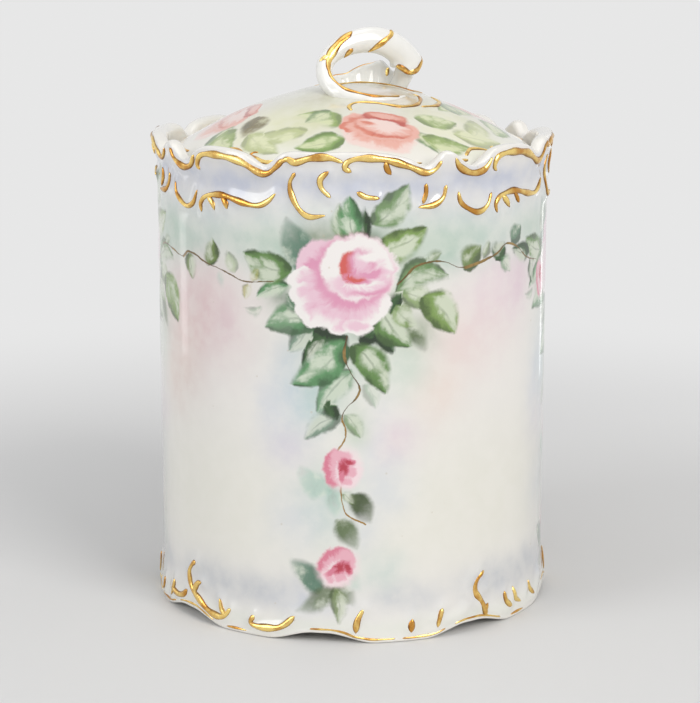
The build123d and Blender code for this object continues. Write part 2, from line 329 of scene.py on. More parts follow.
def paintLeaf(canvas, x, z, base, tip, width, tint, layer, bend, strength, plain):
    base = np.array(base, float)
    length = np.linalg.norm(tip - base)
    along = (tip - base) / length
    middle = (base + tip) / 2
    search = length / 2 + abs(width) + leafOutline["margin"]
    near = np.where(np.hypot(x - middle[0], z - middle[1]) < search)[0]
    dx, dz = x[near] - base[0], z[near] - base[1]
    s = (dx * along[0] + dz * along[1]) / length
    across = dz * along[0] - dx * along[1] - bend * length * 4 * s * (1 - s)
    inside = np.clip(s, 0.0, 1.0)
    swell = inside ** leafOutline["basePower"] * (1 - inside) ** leafOutline["tipPower"]
    half = abs(width) / 2 * leafOutline["fullness"] * swell
    past = np.maximum(np.maximum(-s, s - 1), 0) * length
    distance = half - np.abs(across) - leafOutline["endFall"] * past
    form, tints = canvas[f"leafForm{layer}"], canvas[f"leafTint{layer}"]
    wins = distance > form[near, 3]
    far = leafOutline["far"]
    side = np.clip(across / np.maximum(half, leafOutline["finest"]), -far, far) * np.sign(width)
    marks = np.stack([s, side, np.full_like(s, strength), np.clip(distance, -far, far)], 1)
    form[near[wins]] = marks[wins]
    tints[near[wins]] = (*linear(tint), plain)


def paintLeaves(canvas, x, z, leaves, colours, hand, slack, tipSlack, widthSlack=0.0):
    for base, tip, width, colour, layer, bend, strength in leaves:
        moved = np.array(tip) + hand.normal(0, tipSlack, 2) * slack
        if widthSlack:
            width = width * (1 + widthSlack * slack * hand.normal())
        plain = plainLeaves.get(colour, 0.0)
        paintLeaf(canvas, x, z, base, moved, width, colours[colour], layer, bend, strength, plain)


def paintRound(canvas, key, x, z, centre, size, turn):
    # local place of a rose or bud: 1 at its outline
    dx, dz = x - centre[0], z - centre[1]
    near = np.where(np.hypot(dx / size[0], dz / size[1]) < flowerReach["search"])[0]
    c, s = np.cos(radians(turn)), np.sin(radians(turn))
    u = (dx[near] * c + dz[near] * s) / size[0]
    v = (-dx[near] * s + dz[near] * c) / size[1]
    inside = flowerReach["inside"] - np.hypot(u, v)
    wins = inside > canvas[key][near, 3]
    canvas[key][near[wins]] = np.stack([u, v, np.ones_like(u), np.clip(inside, -1, 2)], 1)[wins]


def paintStem(canvas, x, z, points, gold):
    line = smoothLine(points, stemBrush["spacing"])
    low, high = line.min(0) - stemBrush["margin"], line.max(0) + stemBrush["margin"]
    near = np.where((x > low[0]) & (x < high[0]) & (z > low[1]) & (z < high[1]))[0]
    if not len(near):
        return
    dx, dz = x[near][:, None] - line[:, 0], z[near][:, None] - line[:, 1]
    gap = np.hypot(dx, dz)
    closest, nearest = gap.min(1), gap.argmin(1)
    step = np.gradient(line, axis=0)[nearest]
    rows = np.arange(len(near))
    side = step[:, 0] * dz[rows, nearest] - step[:, 1] * dx[rows, nearest]
    side /= np.maximum(np.hypot(step[:, 0], step[:, 1]), 1e-6)
    atEnd = (nearest == 0) | (nearest == len(line) - 1)
    past = np.where(atEnd, np.sqrt(np.maximum(closest**2 - side**2, 0)), 0)
    reach = np.clip(stemBrush["reach"] - closest - stemBrush["endFall"] * past, 0, 1)
    width = stemBrush["width"] * (1 - stemBrush["taper"] * nearest / len(line))
    wins = (closest < stemBrush["search"]) & (closest < canvas["stem"][near, 3])
    side = np.clip(side, -stemBrush["aside"], stemBrush["aside"])
    canvas["stem"][near[wins]] = np.stack([side, reach, width, closest], 1)[wins]
    canvas["stemGold"][near[wins]] = gold


leafColours = {
    "deep": (50, 88, 40), "mid": (98, 137, 70), "olive": (108, 132, 62), "fresh": (128, 158, 82),
    "cool": (94, 147, 96), "ghost": (172, 202, 188), "blue": (82, 124, 92), "yellow": (178, 172, 86),
    "pale": (164, 186, 132), "smoke": (78, 94, 58), "moss": (102, 120, 82), "slate": (98, 132, 112),
}
plainLeaves = {"ghost": 1.0, "smoke": 0.85, "moss": 0.9, "slate": 0.9}   # one soft touch, without halves
# base, tip, width (its sign says which half is pale), colour, layer, bend, strength
wallLeaves = [
    ((-10.6, 112.0), (-19.6, 128.4), 11.6, "slate", 0, 0.06, 1.1),
    ((-17.6, 112.6), (-34.0, 117.2), 10.0, "mid", 1, 0.10, 1.0),
    ((-18.6, 108.4), (-30.0, 103.0), 5.6, "cool", 0, -0.08, 1.0),
    ((-27.0, 101.8), (-33.5, 100.4), 2.6, "cool", 2, 0.2, 0.5),
    ((-10.4, 97.4), (-26.6, 95.4), -10.0, "cool", 1, -0.12, 0.9),
    ((-12.0, 100.0), (-19.5, 88.0), 7.5, "blue", 0, 0.1, 0.8),
    ((-2.0, 92.6), (-18.4, 78.6), -10.8, "cool", 2, 0.10, 1.0),
    ((0.4, 84.0), (-10.6, 70.4), 8.4, "cool", 1, -0.06, 0.85),
    ((0.0, 91.4), (10.2, 75.8), 9.6, "mid", 2, 0.08, 1.0),
    ((7.6, 103.2), (17.6, 89.8), 10.4, "mid", 1, -0.08, 1.0),
    ((12.0, 103.0), (20.0, 96.0), 7.0, "fresh", 2, -0.10, 0.7),
    ((20.6, 105.0), (32.0, 92.4), 11.0, "fresh", 1, 0.10, 1.0),
    ((12.6, 106.4), (29.6, 110.4), -8.6, "mid", 2, 0.22, 0.9),
    ((13.5, 108.5), (24.0, 113.6), 6.0, "cool", 0, 0.1, 0.7),
    ((5.8, 118.4), (22.4, 125.4), -9.4, "fresh", 1, -0.08, 1.0),
    ((5.6, 126.4), (16.8, 138.4), -9.6, "mid", 0, -0.10, 0.9),
    ((0.8, 121.6), (-0.8, 135.2), 7.6, "cool", 2, 0.05, 1.0),
    ((3.8, 121.4), (3.6, 132.0), 4.0, "deep", 1, 0.0, 1.5),
    ((-2.4, 122.0), (-3.6, 132.8), 4.6, "mid", 1, 0.10, 0.8),
    ((-6.0, 95.6), (-14.6, 84.6), 6.5, "deep", 0, -0.08, 1.2),
    ((-1.0, 94.0), (-9.0, 90.0), 5.5, "deep", 0, 0.1, 1.4),
    ((5.6, 95.6), (12.5, 88.0), 5.5, "deep", 0, 0.1, 1.3),
    ((3.4, 80.0), (7.0, 71.6), 5.0, "cool", 0, 0.1, 0.45),
    ((-3.0, 70.2), (-14.4, 62.0), -6.6, "blue", 0, -0.10, 0.8),
    ((-2.4, 70.4), (2.8, 62.6), 5.6, "mid", 1, 0.08, 0.75),
    ((-4.4, 68.6), (-9.6, 77.0), 5.0, "deep", 1, 0.0, 1.3),
    ((-8.6, 98.6), (-16.4, 99.4), 5.0, "deep", 2, 0.0, 1.6),
    ((15.6, 99.0), (22.4, 88.4), 6.0, "moss", 0, 0.0, 1.1),
    ((-6.0, 46.6), (-16.4, 54.4), 8.6, "ghost", 0, 0.10, 0.72),
    ((-5.4, 50.0), (-4.6, 38.0), 6.8, "ghost", 1, 0.0, 0.7),
    ((-0.6, 46.2), (5.8, 37.0), 7.4, "smoke", 0, 0.05, 1.1),
    ((-3.0, 46.8), (0.8, 42.6), 3.6, "olive", 2, 0.0, 0.8),
    ((-5.0, 38.6), (1.8, 28.6), 7.0, "moss", 2, 0.05, 1.0),
    ((-9.0, 15.6), (-19.4, 25.4), 7.8, "slate", 0, -0.06, 1.05),
    ((-5.4, 17.8), (-17.2, 9.2), 6.4, "moss", 1, 0.08, 0.9),
    ((-5.4, 17.6), (-4.2, 5.6), 5.6, "olive", 2, 0.08, 0.85),
    ((-4.4, 19.4), (0.8, 11.4), 5.8, "moss", 0, -0.06, 0.8),
    ((-2.4, 22.0), (2.6, 16.0), 5.0, "ghost", 1, 0.0, 0.45),
    ((22.0, 115.0), (27.0, 117.6), 3.4, "olive", 2, 0.0, 0.7),
    ((-3.0, 92.4), (-14.6, 98.6), 6.6, "deep", 0, 0.06, 1.6),
    ((1.6, 92.4), (10.4, 95.4), 5.6, "deep", 0, 0.0, 1.6),
    ((10.8, 100.0), (14.6, 107.0), 4.8, "deep", 2, 0.0, 1.3),
    ((14.0, 106.4), (25.4, 100.6), 7.4, "fresh", 0, 0.08, 0.85),
    ((-16.0, 100.0), (-19.8, 106.4), 3.6, "blue", 2, 0.0, 1.3),
]
wallStems = [   # points, share of gold in the tone
    ([(13.9, 109.4), (18.5, 113.6), (23.1, 114.9), (28.0, 114.6), (32.6, 112.6), (35.6, 112.6)], 0.2),
    ([(-1.6, 93.4), (-2.4, 88.0), (-0.2, 82.3), (2.2, 78.6), (1.1, 75.2), (-2.1, 71.8), (-3.1, 69.2)], 0.1),
    ([(-3.1, 69.2), (-2.0, 65.6), (-2.2, 62.7), (-4.4, 59.4)], 0.8),
    ([(-3.4, 48.4), (-3.0, 43.4), (-1.4, 39.6), (3.6, 37.0)], 0.8),
]
wallFlowers = [   # kind, centre, half sizes, turn and how far it varies in degrees
    ("rose", (-2.9, 108.5), (16.0, 14.8), 0, 6),
    ("bud", (-3.3, 53.8), (5.9, 6.4), -4, 10),
    ("bud", (-4.6, 23.8), (6.2, 6.4), -58, 10),
]
sideBud = {"centre": (-20.4, 103.6), "size": (4.0, 6.4), "turn": 12}   # on every second panel
allRound = 400   # reach of a wash that goes right round the jar
# centre, reach across and up, colour, strength
wallWashes = [
    ((0, 127.5), (allRound, 5.0), (218, 223, 224), 0.8), ((0, 119.0), (allRound, 6.6), (198, 215, 206), 0.8),
    ((27, 119), (15, 7.0), (170, 198, 180), 0.75), ((-26, 120), (13, 6.0), (186, 206, 192), 0.6),
    ((0, 112), (22, 20), (182, 200, 176), 0.55), ((33, 90), (10, 10), (236, 212, 206), 0.6),
    ((25, 76), (10, 10), (238, 220, 210), 0.6), ((-11, 96), (5, 4), (40, 72, 46), 0.85),
    ((7, 95), (5, 4), (44, 74, 44), 0.8), ((12.4, 103), (3.4, 3.6), (72, 96, 58), 0.7),
    ((-10, 122.4), (7, 3.6), (120, 132, 102), 0.8), ((0, 122), (6, 4), (120, 146, 116), 0.4),
    ((6, 122.6), (3.6, 3.6), (62, 92, 54), 0.8), ((12, 117), (4.4, 3.8), (94, 122, 84), 0.75),
    ((-20, 104), (5, 4), (86, 114, 86), 0.7), ((-9, 75), (6, 7), (176, 200, 176), 0.6),
    ((19, 93), (6, 5), (120, 142, 96), 0.6), ((-17, 78), (8, 13), (198, 210, 222), 0.8),
    ((-12, 74), (6, 9), (184, 210, 210), 0.6), ((-24, 70), (6, 10), (216, 220, 228), 0.6),
    ((-3, 87), (15, 12), (184, 204, 188), 0.6), ((15, 84), (8, 9), (208, 222, 208), 0.7),
    ((-19, 59), (9, 7), (216, 211, 222), 0.6), ((9, 60), (8, 13), (214, 220, 228), 0.6),
    ((13, 62), (8, 7), (232, 212, 219), 0.6), ((9, 45), (8, 8), (218, 222, 227), 0.5),
    ((-8, 43), (7, 10), (184, 208, 200), 0.8), ((-17, 38), (10, 12), (216, 220, 226), 0.55),
    ((2, 34), (7, 8), (216, 220, 224), 0.55), ((1, 66), (4, 6), (190, 208, 180), 0.6),
    ((0, 137.4), (allRound, 5.0), (199, 204, 219), 0.9), ((-34, 14.0), (20, 6.0), (188, 192, 199), 0.7),
    ((14, 13), (14, 5), (194, 198, 205), 0.6), ((44, 15), (11, 5), (194, 198, 204), 0.6),
    ((-14, 12), (10, 5), (192, 199, 212), 0.6), ((0, 4.5), (allRound, 3.0), (228, 231, 221), 0.6),
    ((8, 22), (7, 6), (198, 214, 208), 0.65),
]
# the vine that joins two panels, from the left panel's border: two kinds in turn
vines = [
    {"leaves": [
        ((-47.4, 111.4), (-45.6, 120.6), 6.2, "olive", 0, -0.10, 1.0),
        ((-56.6, 114.6), (-55.0, 106.2), 6.2, "olive", 0, 0.0, 0.95),
        ((-36.4, 110.6), (-39.4, 116.6), 5.0, "pale", 0, 0.0, 0.6),
        ((-32.0, 108.0), (-33.2, 103.0), 3.8, "yellow", 2, 0.0, 0.7),
        ((-43.0, 110.8), (-41.4, 105.4), 3.2, "ghost", 2, 0.0, 0.5),
        ((-30.6, 108.4), (-28.4, 112.6), 3.2, "yellow", 2, 0.0, 0.6),
    ], "stem": [
        (-60.2, 112.6), (-57.4, 114.6), (-53.6, 114.2), (-48.7, 112.5), (-41.5, 110.9), (-34.8, 108.7),
        (-31.4, 108.4), (-24.0, 109.2),
    ], "washes": [
        ((-54, 97), (20, 16), (225, 193, 195), 0.85), ((-62, 80), (10, 14), (220, 198, 190), 0.6),
        ((-40, 96), (8, 10), (226, 200, 206), 0.5),
    ]},
    {"leaves": [
        ((-61.4, 111.8), (-56.0, 118.6), 7.6, "olive", 0, 0.05, 0.95),
        ((-49.2, 113.2), (-43.6, 118.0), 7.0, "deep", 1, 0.05, 1.0),
        ((-46.4, 114.0), (-41.4, 109.0), 5.0, "cool", 2, 0.0, 0.7),
        ((-41.6, 118.0), (-36.4, 123.0), 6.0, "blue", 0, 0.0, 0.9),
        ((-30.6, 113.0), (-39.4, 116.8), 6.6, "deep", 2, 0.05, 1.0),
        ((-30.0, 111.0), (-27.6, 103.6), 4.4, "deep", 1, 0.0, 0.9),
        ((-54.0, 114.4), (-52.4, 119.0), 3.2, "olive", 2, 0.0, 0.7),
    ], "stem": [
        (-60.4, 112.6), (-55.3, 113.4), (-48.3, 115.6), (-43.7, 117.2), (-38.0, 116.0), (-32.4, 112.0),
        (-25.0, 110.4),
    ], "washes": [
        ((-47, 103), (14, 11), (233, 210, 221), 0.8), ((-52, 92), (13, 12), (238, 221, 219), 0.6),
        ((-36, 106), (6, 8), (222, 190, 208), 0.5),
    ]},
]
wallPaint = {
    "ground": (239, 236, 231), "lowGround": (236, 234, 224), "lowFrom": (10, 34), "lowTo": (44, 80),
    "inside": (240, 237, 230),
    "wander": (1.6, 1.2), "mottle": 0.22, "fullest": 0.97,    # unevenness of the washes
    "cloudTurns": (9, 13, 19, 26, 37, 52), "cloudSlope": (0.4, 1.1), "cloudShift": 6.28,
    "tipSlack": 0.7, "widthSlack": 0.08, "stemSlack": 0.25,   # the other panels differ from the front one
    "vineGold": 0.2,
    "handSeed": 11, "wanderSeed": 100, "mottleSeed": 200,
}


def cloud(x, z, seed):
    # soft unevenness of a wash, closed round the jar
    hand = np.random.default_rng(seed)
    total = np.zeros_like(x)
    for turns in wallPaint["cloudTurns"]:
        along = 2 * pi * turns / wholeWidth
        slope = hand.uniform(*wallPaint["cloudSlope"]) * hand.choice((-1, 1))
        total += np.sin(along * x + slope * along * z + hand.uniform(0, wallPaint["cloudShift"])) / turns**0.5
    return total


def paintWall():
    canvas = blankCanvas(len(jarPoints))
    part = {key: data[outer] for key, data in canvas.items()}
    x, z = jarX[outer - 1], jarZ[outer - 1]
    low = smoothStep(z, *wallPaint["lowFrom"]) * (1 - smoothStep(z, *wallPaint["lowTo"]))
    wash = layWash(linear(wallPaint["ground"]), low, wallPaint["lowGround"])
    for panel in range(panels):
        hand = np.random.default_rng(wallPaint["handSeed"] + panel)
        slack = 1.0 if panel else 0.0
        vine = vines[panel % 2]
        px = wrap(x - panel * panelWidth, wholeWidth)
        for place, (centre, reach, colour, strength) in enumerate(wallWashes + vine["washes"]):
            if reach[0] == allRound and panel:
                continue
            patch = cloud(x, z, wallPaint["wanderSeed"] + place)
            gap = ((z - centre[1] + wallPaint["wander"][1] * patch) / reach[1]) ** 2
            if reach[0] != allRound:
                gap += ((px - centre[0] + wallPaint["wander"][0] * patch) / reach[0]) ** 2
            uneven = 1 + wallPaint["mottle"] * cloud(x, z, wallPaint["mottleSeed"] + place)
            wash = layWash(wash, np.clip(strength * np.exp(-gap) * uneven, 0, wallPaint["fullest"]), colour)
        paintLeaves(part, px, z, wallLeaves + vine["leaves"], leafColours, hand, slack,
                    wallPaint["tipSlack"], wallPaint["widthSlack"])
        for stem, gold in wallStems + [(vine["stem"], wallPaint["vineGold"])]:
            moved = np.array(stem) + hand.normal(0, wallPaint["stemSlack"], (len(stem), 2)) * slack
            paintStem(part, px, z, moved, gold)
        for kind, centre, size, turn, loose in wallFlowers:
            paintRound(part, kind, px, z, centre, size, turn + loose * slack * hand.normal())
        if panel % 2:
            paintRound(part, "bud", px, z, **sideBud)
    for key, data in part.items():
        canvas[key][outer] = data
    canvas["wash"] = np.tile((*linear(wallPaint["inside"]), 1.0), (len(jarPoints), 1))
    canvas["wash"][outer, :3] = wash
    return canvas


jarBody = makePiece("jarBody", jarPoints, ringFaces(len(rings), columns), paintWall())
print("painted the wall", len(jarBody.data.polygons), "faces")

# lid: dome, edge, flange and hollow

lidShape = {
    "columns": 360, "crown": 161.7, "hollow": 157.5,
    "dome": [(-12, 160.4), (0, 161.7), (12, 160.4), (20, 158.3), (28, 155.8), (36, 152.6), (44, 148.7),
             (52, 144.3), (55.0, 142.5)],   # radius and height, through the middle
    "domeRings": (0.5, 54.6, 138),          # radius from, to, how many
    "roll": 0.35, "rollSpread": 2.0,        # soft roll under the gilt lines
    # radius and height over the edge, round the flange and up into the hollow
    "under": [(55.3, 142.1), (55.9, 141.5), (56.2, 140.6), (56.2, 139.2), (55.9, 138.6), (55.4, 138.4),
              (52, 138.4), (49.9, 138.4), (49.7, 138.1), (49.7, 131.4), (49.3, 130.7), (48.7, 130.4),
              (47, 130.4), (46.4, 130.6), (46.1, 131.2), (46.1, 140.5), (45.6, 142.0), (40, 145.4),
              (32, 149.8), (22, 153.9), (12, 156.5), (4, 157.4)],
    # gilt lines on the crown, seen from above
    "crownLines": [
        [(-0.3, -28.6), (-0.9, -25.0), (1.6, -22.6), (5.6, -22.0), (10.0, -22.4), (14.6, -22.2),
         (18.4, -19.4), (20.6, -14.0), (20.6, -8.0), (18.6, -6.4)],
        [(21.0, -18.6), (25.2, -13.4), (26.8, -6.4), (24.4, -1.4)],
        [(-5.4, -5.4), (-1.0, -3.4), (3.4, -1.2), (7.4, 0.6), (11.0, 1.6), (15.4, 1.4), (19.4, 0.2)],
        [(-12.0, 12.4), (-4.0, 16.2), (6.0, 17.0), (16.0, 14.0), (22.0, 7.0)],
    ],
}
domeLine = smoothLine(lidShape["dome"], spacing=0.2)
domeLine = domeLine[domeLine[:, 0] >= 0]
crownRidges = [smoothLine(line) for line in lidShape["crownLines"]]
crownDots = np.vstack(crownRidges)


def domeHeight(r):
    return np.interp(r, domeLine[:, 0], domeLine[:, 1])


def lidPoint(x, y):
    raised = lidShape["roll"] * np.exp(-gapSquared(x, y, crownDots) / lidShape["rollSpread"])
    return np.stack([x, y, domeHeight(np.hypot(x, y)) + raised], 1)


lidTurn = np.arange(lidShape["columns"]) / lidShape["columns"] * 2 * pi
lidRings = []
for r in np.linspace(*lidShape["domeRings"]):
    lidRings.append(lidPoint(r * np.sin(lidTurn), -r * np.cos(lidTurn)))
lidOuter = 1 + len(lidRings) * lidShape["columns"]   # the painted points come first
lidRings += [roundPoint(r, lidTurn, z) for r, z in lidShape["under"]]
lidPoints = np.vstack([[(0, 0, lidShape["crown"])], *lidRings, [(0, 0, lidShape["hollow"])]])

lidPaint = {
    "ground": (216, 217, 202), "edge": (248, 247, 238), "edgeFrom": (34, 53), "edgeShare": 0.7,
    "washes": [((-22, -28), (13, 11), (236, 235, 202), 0.7), ((30, -30), (13, 10), (238, 238, 202), 0.75),
               ((8, -38), (15, 13), (240, 224, 216), 0.5), ((-12, -17), (9, 6), (198, 194, 168), 0.7),
               ((32, -14), (11, 10), (218, 220, 172), 0.75)],
    "crownWash": ((10, -13), (9, 8), (226, 208, 198), 0.7),
    "rose": {"centre": (7.9, -37.6), "size": (11.6, 10.6)}, "roseTurn": -8, "roseLoose": 12,
    "tipSlack": 0.8, "handSeed": 31, "away": 400,
    "leafColours": {"fresh": (148, 172, 92), "mid": (132, 164, 84), "pale": (180, 192, 122),
                    "smoke": (112, 98, 40), "cool": (122, 150, 98)},
    "leaves": [
        ((-3.6, -36.8), (-16.8, -27.0), 8.4, "fresh", 1, -0.12, 1.0),
        ((-2.0, -42.6), (-17.4, -44.4), -8.0, "mid", 2, 0.10, 1.0),
        ((-13.0, -37.4), (-30.4, -33.0), 8.0, "pale", 0, 0.10, 0.75),
        ((-36.0, -18.0), (-45.2, -26.0), 6.0, "cool", 0, 0.05, 0.95),
        ((20.4, -38.0), (35.2, -35.2), -9.0, "fresh", 2, -0.14, 1.0),
        ((30.0, -31.0), (45.0, -22.0), 8.6, "pale", 0, -0.08, 0.8),
        ((27.0, -6.6), (33.0, -13.6), 7.0, "cool", 2, 0.05, 0.8),
        ((40.4, -4.4), (46.0, -16.0), 6.0, "mid", 1, 0.05, 1.0),
    ],
    "pairLeaves": [   # only on every second quarter
        ((18.6, -28.0), (31.4, -22.0), 9.0, "fresh", 1, -0.12, 0.95),
        ((-28.4, -19.6), (-33.0, -31.6), 9.6, "smoke", 1, 0.10, 1.15),
    ],
}


def softSpot(x, y, centre, reach):
    return np.exp(-((x - centre[0]) / reach[0]) ** 2 - ((y - centre[1]) / reach[1]) ** 2)


def paintLid():
    x, y, _ = lidPoints.T
    canvas = blankCanvas(len(lidPoints))
    top = np.arange(len(lidPoints)) < lidOuter
    pale = lidPaint["edgeShare"] * smoothStep(np.hypot(x, y), *lidPaint["edgeFrom"])
    wash = layWash(linear(lidPaint["ground"]), pale, lidPaint["edge"])
    for quarterTurn in range(panels):
        hand = np.random.default_rng(lidPaint["handSeed"] + quarterTurn)
        slack = 1.0 if quarterTurn else 0.0
        c, s = np.cos(quarterTurn * pi / 2), np.sin(quarterTurn * pi / 2)
        qx, qy = np.where(top, (x * c + y * s, -x * s + y * c), lidPaint["away"])
        for centre, reach, colour, strength in lidPaint["washes"]:
            wash = layWash(wash, strength * softSpot(qx, qy, centre, reach), colour)
        leaves = lidPaint["leaves"] + lidPaint["pairLeaves"] * (1 - quarterTurn % 2)
        paintLeaves(canvas, qx, qy, leaves, lidPaint["leafColours"], hand, slack, lidPaint["tipSlack"])
        roseTurn = lidPaint["roseTurn"] + lidPaint["roseLoose"] * slack * hand.normal()
        paintRound(canvas, "rose", qx, qy, **lidPaint["rose"], turn=roseTurn)
    centre, reach, colour, strength = lidPaint["crownWash"]
    wash = layWash(wash, strength * softSpot(x, y, centre, reach) * top, colour)
    canvas["wash"] = np.ones((len(lidPoints), 4))
    canvas["wash"][:, :3] = wash
    return canvas


lidShell = makePiece("lidShell", lidPoints, ringFaces(len(lidRings), lidShape["columns"]), paintLid())
print("painted the lid", len(lidShell.data.polygons), "faces")

# loop handle: a strap that rises from a swirl on the crown, with a leaf behind it

handleShape = {
    "around": 44, "spacing": 0.42, "nose": 0.4,
    "plane": (-0.62, 0.78, 0.0),   # across the loop
    # x, y, z, half thickness seen from the front, half depth
    "strap": [(16.0, -11.6, 158.5, 0.4, 0.5), (11.4, -16.2, 157.9, 1.1, 1.2), (4.0, -18.0, 158.1, 1.8, 1.8),
              (-3.4, -15.8, 159.6, 2.5, 2.4), (-7.7, -12.0, 162.8, 2.5, 2.5), (-8.6, -8.0, 167.2, 2.5, 2.7),
              (-6.2, -4.8, 170.9, 2.9, 2.9), (-1.6, -2.4, 173.6, 3.5, 3.2), (4.4, 0.0, 174.9, 4.0, 3.5),
              (10.0, 2.2, 174.0, 4.2, 3.6), (14.6, 4.6, 171.0, 4.4, 3.7), (16.9, 6.4, 167.2, 4.7, 3.9),
              (15.9, 7.6, 163.0, 4.0, 3.7), (14.3, 8.4, 159.4, 3.6, 3.9), (13.8, 8.6, 157.0, 4.0, 4.6)],
    # the upper strap ends in a lip over the right root: degrees round it, share of the strap's length
    "lip": [(-120, 0.83), (-72, 0.822), (-50, 0.862), (-30, 0.876), (0, 0.875), (30, 0.867), (60, 0.864),
            (120, 0.850)],
    "lipRise": 0.7, "lipReach": 0.02, "lipDrop": 0.9, "dropReach": 0.035,
    "groove": 0.18, "grooveTurn": 0.5, "grooveReach": 0.35,   # turn and reach in radians
}
handleLine = smoothLine(handleShape["strap"], handleShape["spacing"])
handleSteps = unit(np.gradient(handleLine[:, :3], axis=0))
loopPlane = np.array(handleShape["plane"])
handleSide = unit(loopPlane - (handleSteps @ loopPlane)[:, None] * handleSteps)
handleOut = np.cross(handleSteps, handleSide)


def lipPlace(turn):
    turns, shares = zip(*handleShape["lip"])
    return np.interp(np.degrees(turn), turns, shares, period=360)


def alongStrap(data, share):
    place = share * (len(data) - 1)
    return np.stack([np.interp(place, np.arange(len(data)), column) for column in data.T], 1)


def handlePoint(share, turn, lift=0.0):
    # turn 0 faces the front, a quarter turn is the outside of the loop
    line, side, out = [alongStrap(data, share) for data in (handleLine, handleSide, handleOut)]
    past = share - lipPlace(turn)
    lip = handleShape["lipRise"] * np.exp(-(past / handleShape["lipReach"]) ** 2)
    lip -= handleShape["lipDrop"] * smoothStep(past, 0, handleShape["dropReach"])
    off = (turn - handleShape["grooveTurn"]) / handleShape["grooveReach"]
    grown = lip - handleShape["groove"] * np.exp(-off**2) + lift
    thick, deep = line[:, 3] + grown, line[:, 4] + grown
    return line[:, :3] + out * (thick * np.sin(turn))[:, None] - side * (deep * np.cos(turn))[:, None]


around = handleShape["around"]
handleTurns = np.arange(around) / around * 2 * pi
handleShares = np.linspace(0, 1, len(handleLine))
handleRings = [handlePoint(np.full(around, share), handleTurns) for share in handleShares]
handleNose = handleLine[0, :3] - handleSteps[0] * handleShape["nose"]
handlePoints = np.vstack([[handleNose], *handleRings, [handleLine[-1, :3]]])

leafShape = {
    "flutes": 5, "fluteDepth": 0.11, "endTaper": 0.22, "endShare": 0.35, "sunk": 1.6, "facing": 4.0,
    "spacing": 0.4,
    "edge": [(-9.0, 7.6, 161.4), (-6.2, 9.4, 163.0), (-2.0, 10.8, 163.6), (0.4, 11.2, 164.9),
             (3.4, 11.5, 166.2), (6.4, 11.5, 166.9), (8.8, 11.3, 167.8), (10.6, 10.8, 166.4),
             (12.2, 10.0, 164.8), (14.2, 9.2, 164.2)],
    # share of the height, half thickness
    "sections": [(0.0, 3.0), (0.3, 2.4), (0.65, 1.9), (0.88, 1.5), (0.98, 0.9)],
}
leafEdge = smoothLine(leafShape["edge"], leafShape["spacing"])


def leafRing(point, share):
    # section across the leaf behind the loop: thick at the dome, fluted, a rounded lip at the top
    x, y, top = point
    facing = np.array((x - leafShape["facing"], y, 0.0))
    inward = -facing / np.linalg.norm(facing)
    low = domeHeight(np.hypot(x, y)) - leafShape["sunk"]
    flute = 1 + leafShape["fluteDepth"] * np.cos(2 * pi * leafShape["flutes"] * share)
    fromEnd = smoothStep(min(share, 1 - share), 0, leafShape["endTaper"])
    thick = flute * (leafShape["endShare"] + (1 - leafShape["endShare"]) * fromEnd)
    front, back = [], []
    for height, half in leafShape["sections"]:
        place = np.array((x, y, low + (top - low) * height))
        front.append(place + inward * half * thick)
        back.append(place - inward * half * thick)
    return np.array(front + [point] + back[::-1])


leafRings = [leafRing(point, share) for point, share in zip(leafEdge, np.linspace(0, 1, len(leafEdge)))]
leafPoints = np.vstack([[leafRings[0].mean(0)], *leafRings, [leafRings[-1].mean(0)]])
handleFaces = ringFaces(len(handleRings), around)
handleFaces += ringFaces(len(leafRings), len(leafRings[0]), first=len(handlePoints))
lidHandle = makePiece("lidHandle", np.vstack([handlePoints, leafPoints]), handleFaces)
print("shaped the handle", len(lidHandle.data.polygons), "faces")

# gilding laid on as raised strokes

strokeShape = {
    "body": 0.62, "swell": 0.36, "waver": 0.15, "waverPace": 0.75,   # width along the stroke, in half widths
    "startRound": 1.1, "endRound": 1.6, "finest": 0.06,
    "flat": 0.35,                                                    # share of the height left at the ends
    "angles": 9, "droop": 0.3, "rootWidth": 0.7, "rootDepth": 0.9,   # section
}


def strokeMesh(points, normals, half, height, first):
    # lens section with a rounded start, swelling along the way and drawn out to a fine end
    shape = strokeShape
    travel = lengthAlong(points)
    total = travel[-1]
    aside = unit(np.cross(normals, unit(np.gradient(points, axis=0))))
    swell = shape["body"] + shape["swell"] * np.sin(travel / total * pi)
    swell += shape["waver"] * np.sin(travel * shape["waverPace"] + points[0, 0])
    start = 1 - np.clip(1 - travel / (half * shape["startRound"]), 0, 1) ** 2
    end = 1 - np.clip(1 - (total - travel) / (half * shape["endRound"]), 0, 1) ** 2
    width = np.maximum(half * swell * np.sqrt(np.minimum(start, end)), shape["finest"])[:, None]
    tall = height * (shape["flat"] + (1 - shape["flat"]) * width / half)
    angles = np.linspace(0, pi, shape["angles"])
    roots = np.full((len(points), 2), -shape["rootDepth"])   # two points sunk into the glaze
    over = np.hstack([width * np.cos(angles), width * shape["rootWidth"] * (-1, 1)])
    up = np.hstack([tall * np.sin(angles) - shape["droop"] * width * np.cos(angles) ** 2, roots])
    rows = points[:, None] + aside[:, None] * over[..., None] + normals[:, None] * up[..., None]
    edge = np.r_[np.abs(np.cos(angles)), 1, 1]
    mesh = np.vstack([[rows[0].mean(0)], *rows, [rows[-1].mean(0)]])
    return mesh, ringFaces(len(rows), len(edge), first), np.r_[1, np.tile(edge, len(rows)), 1]


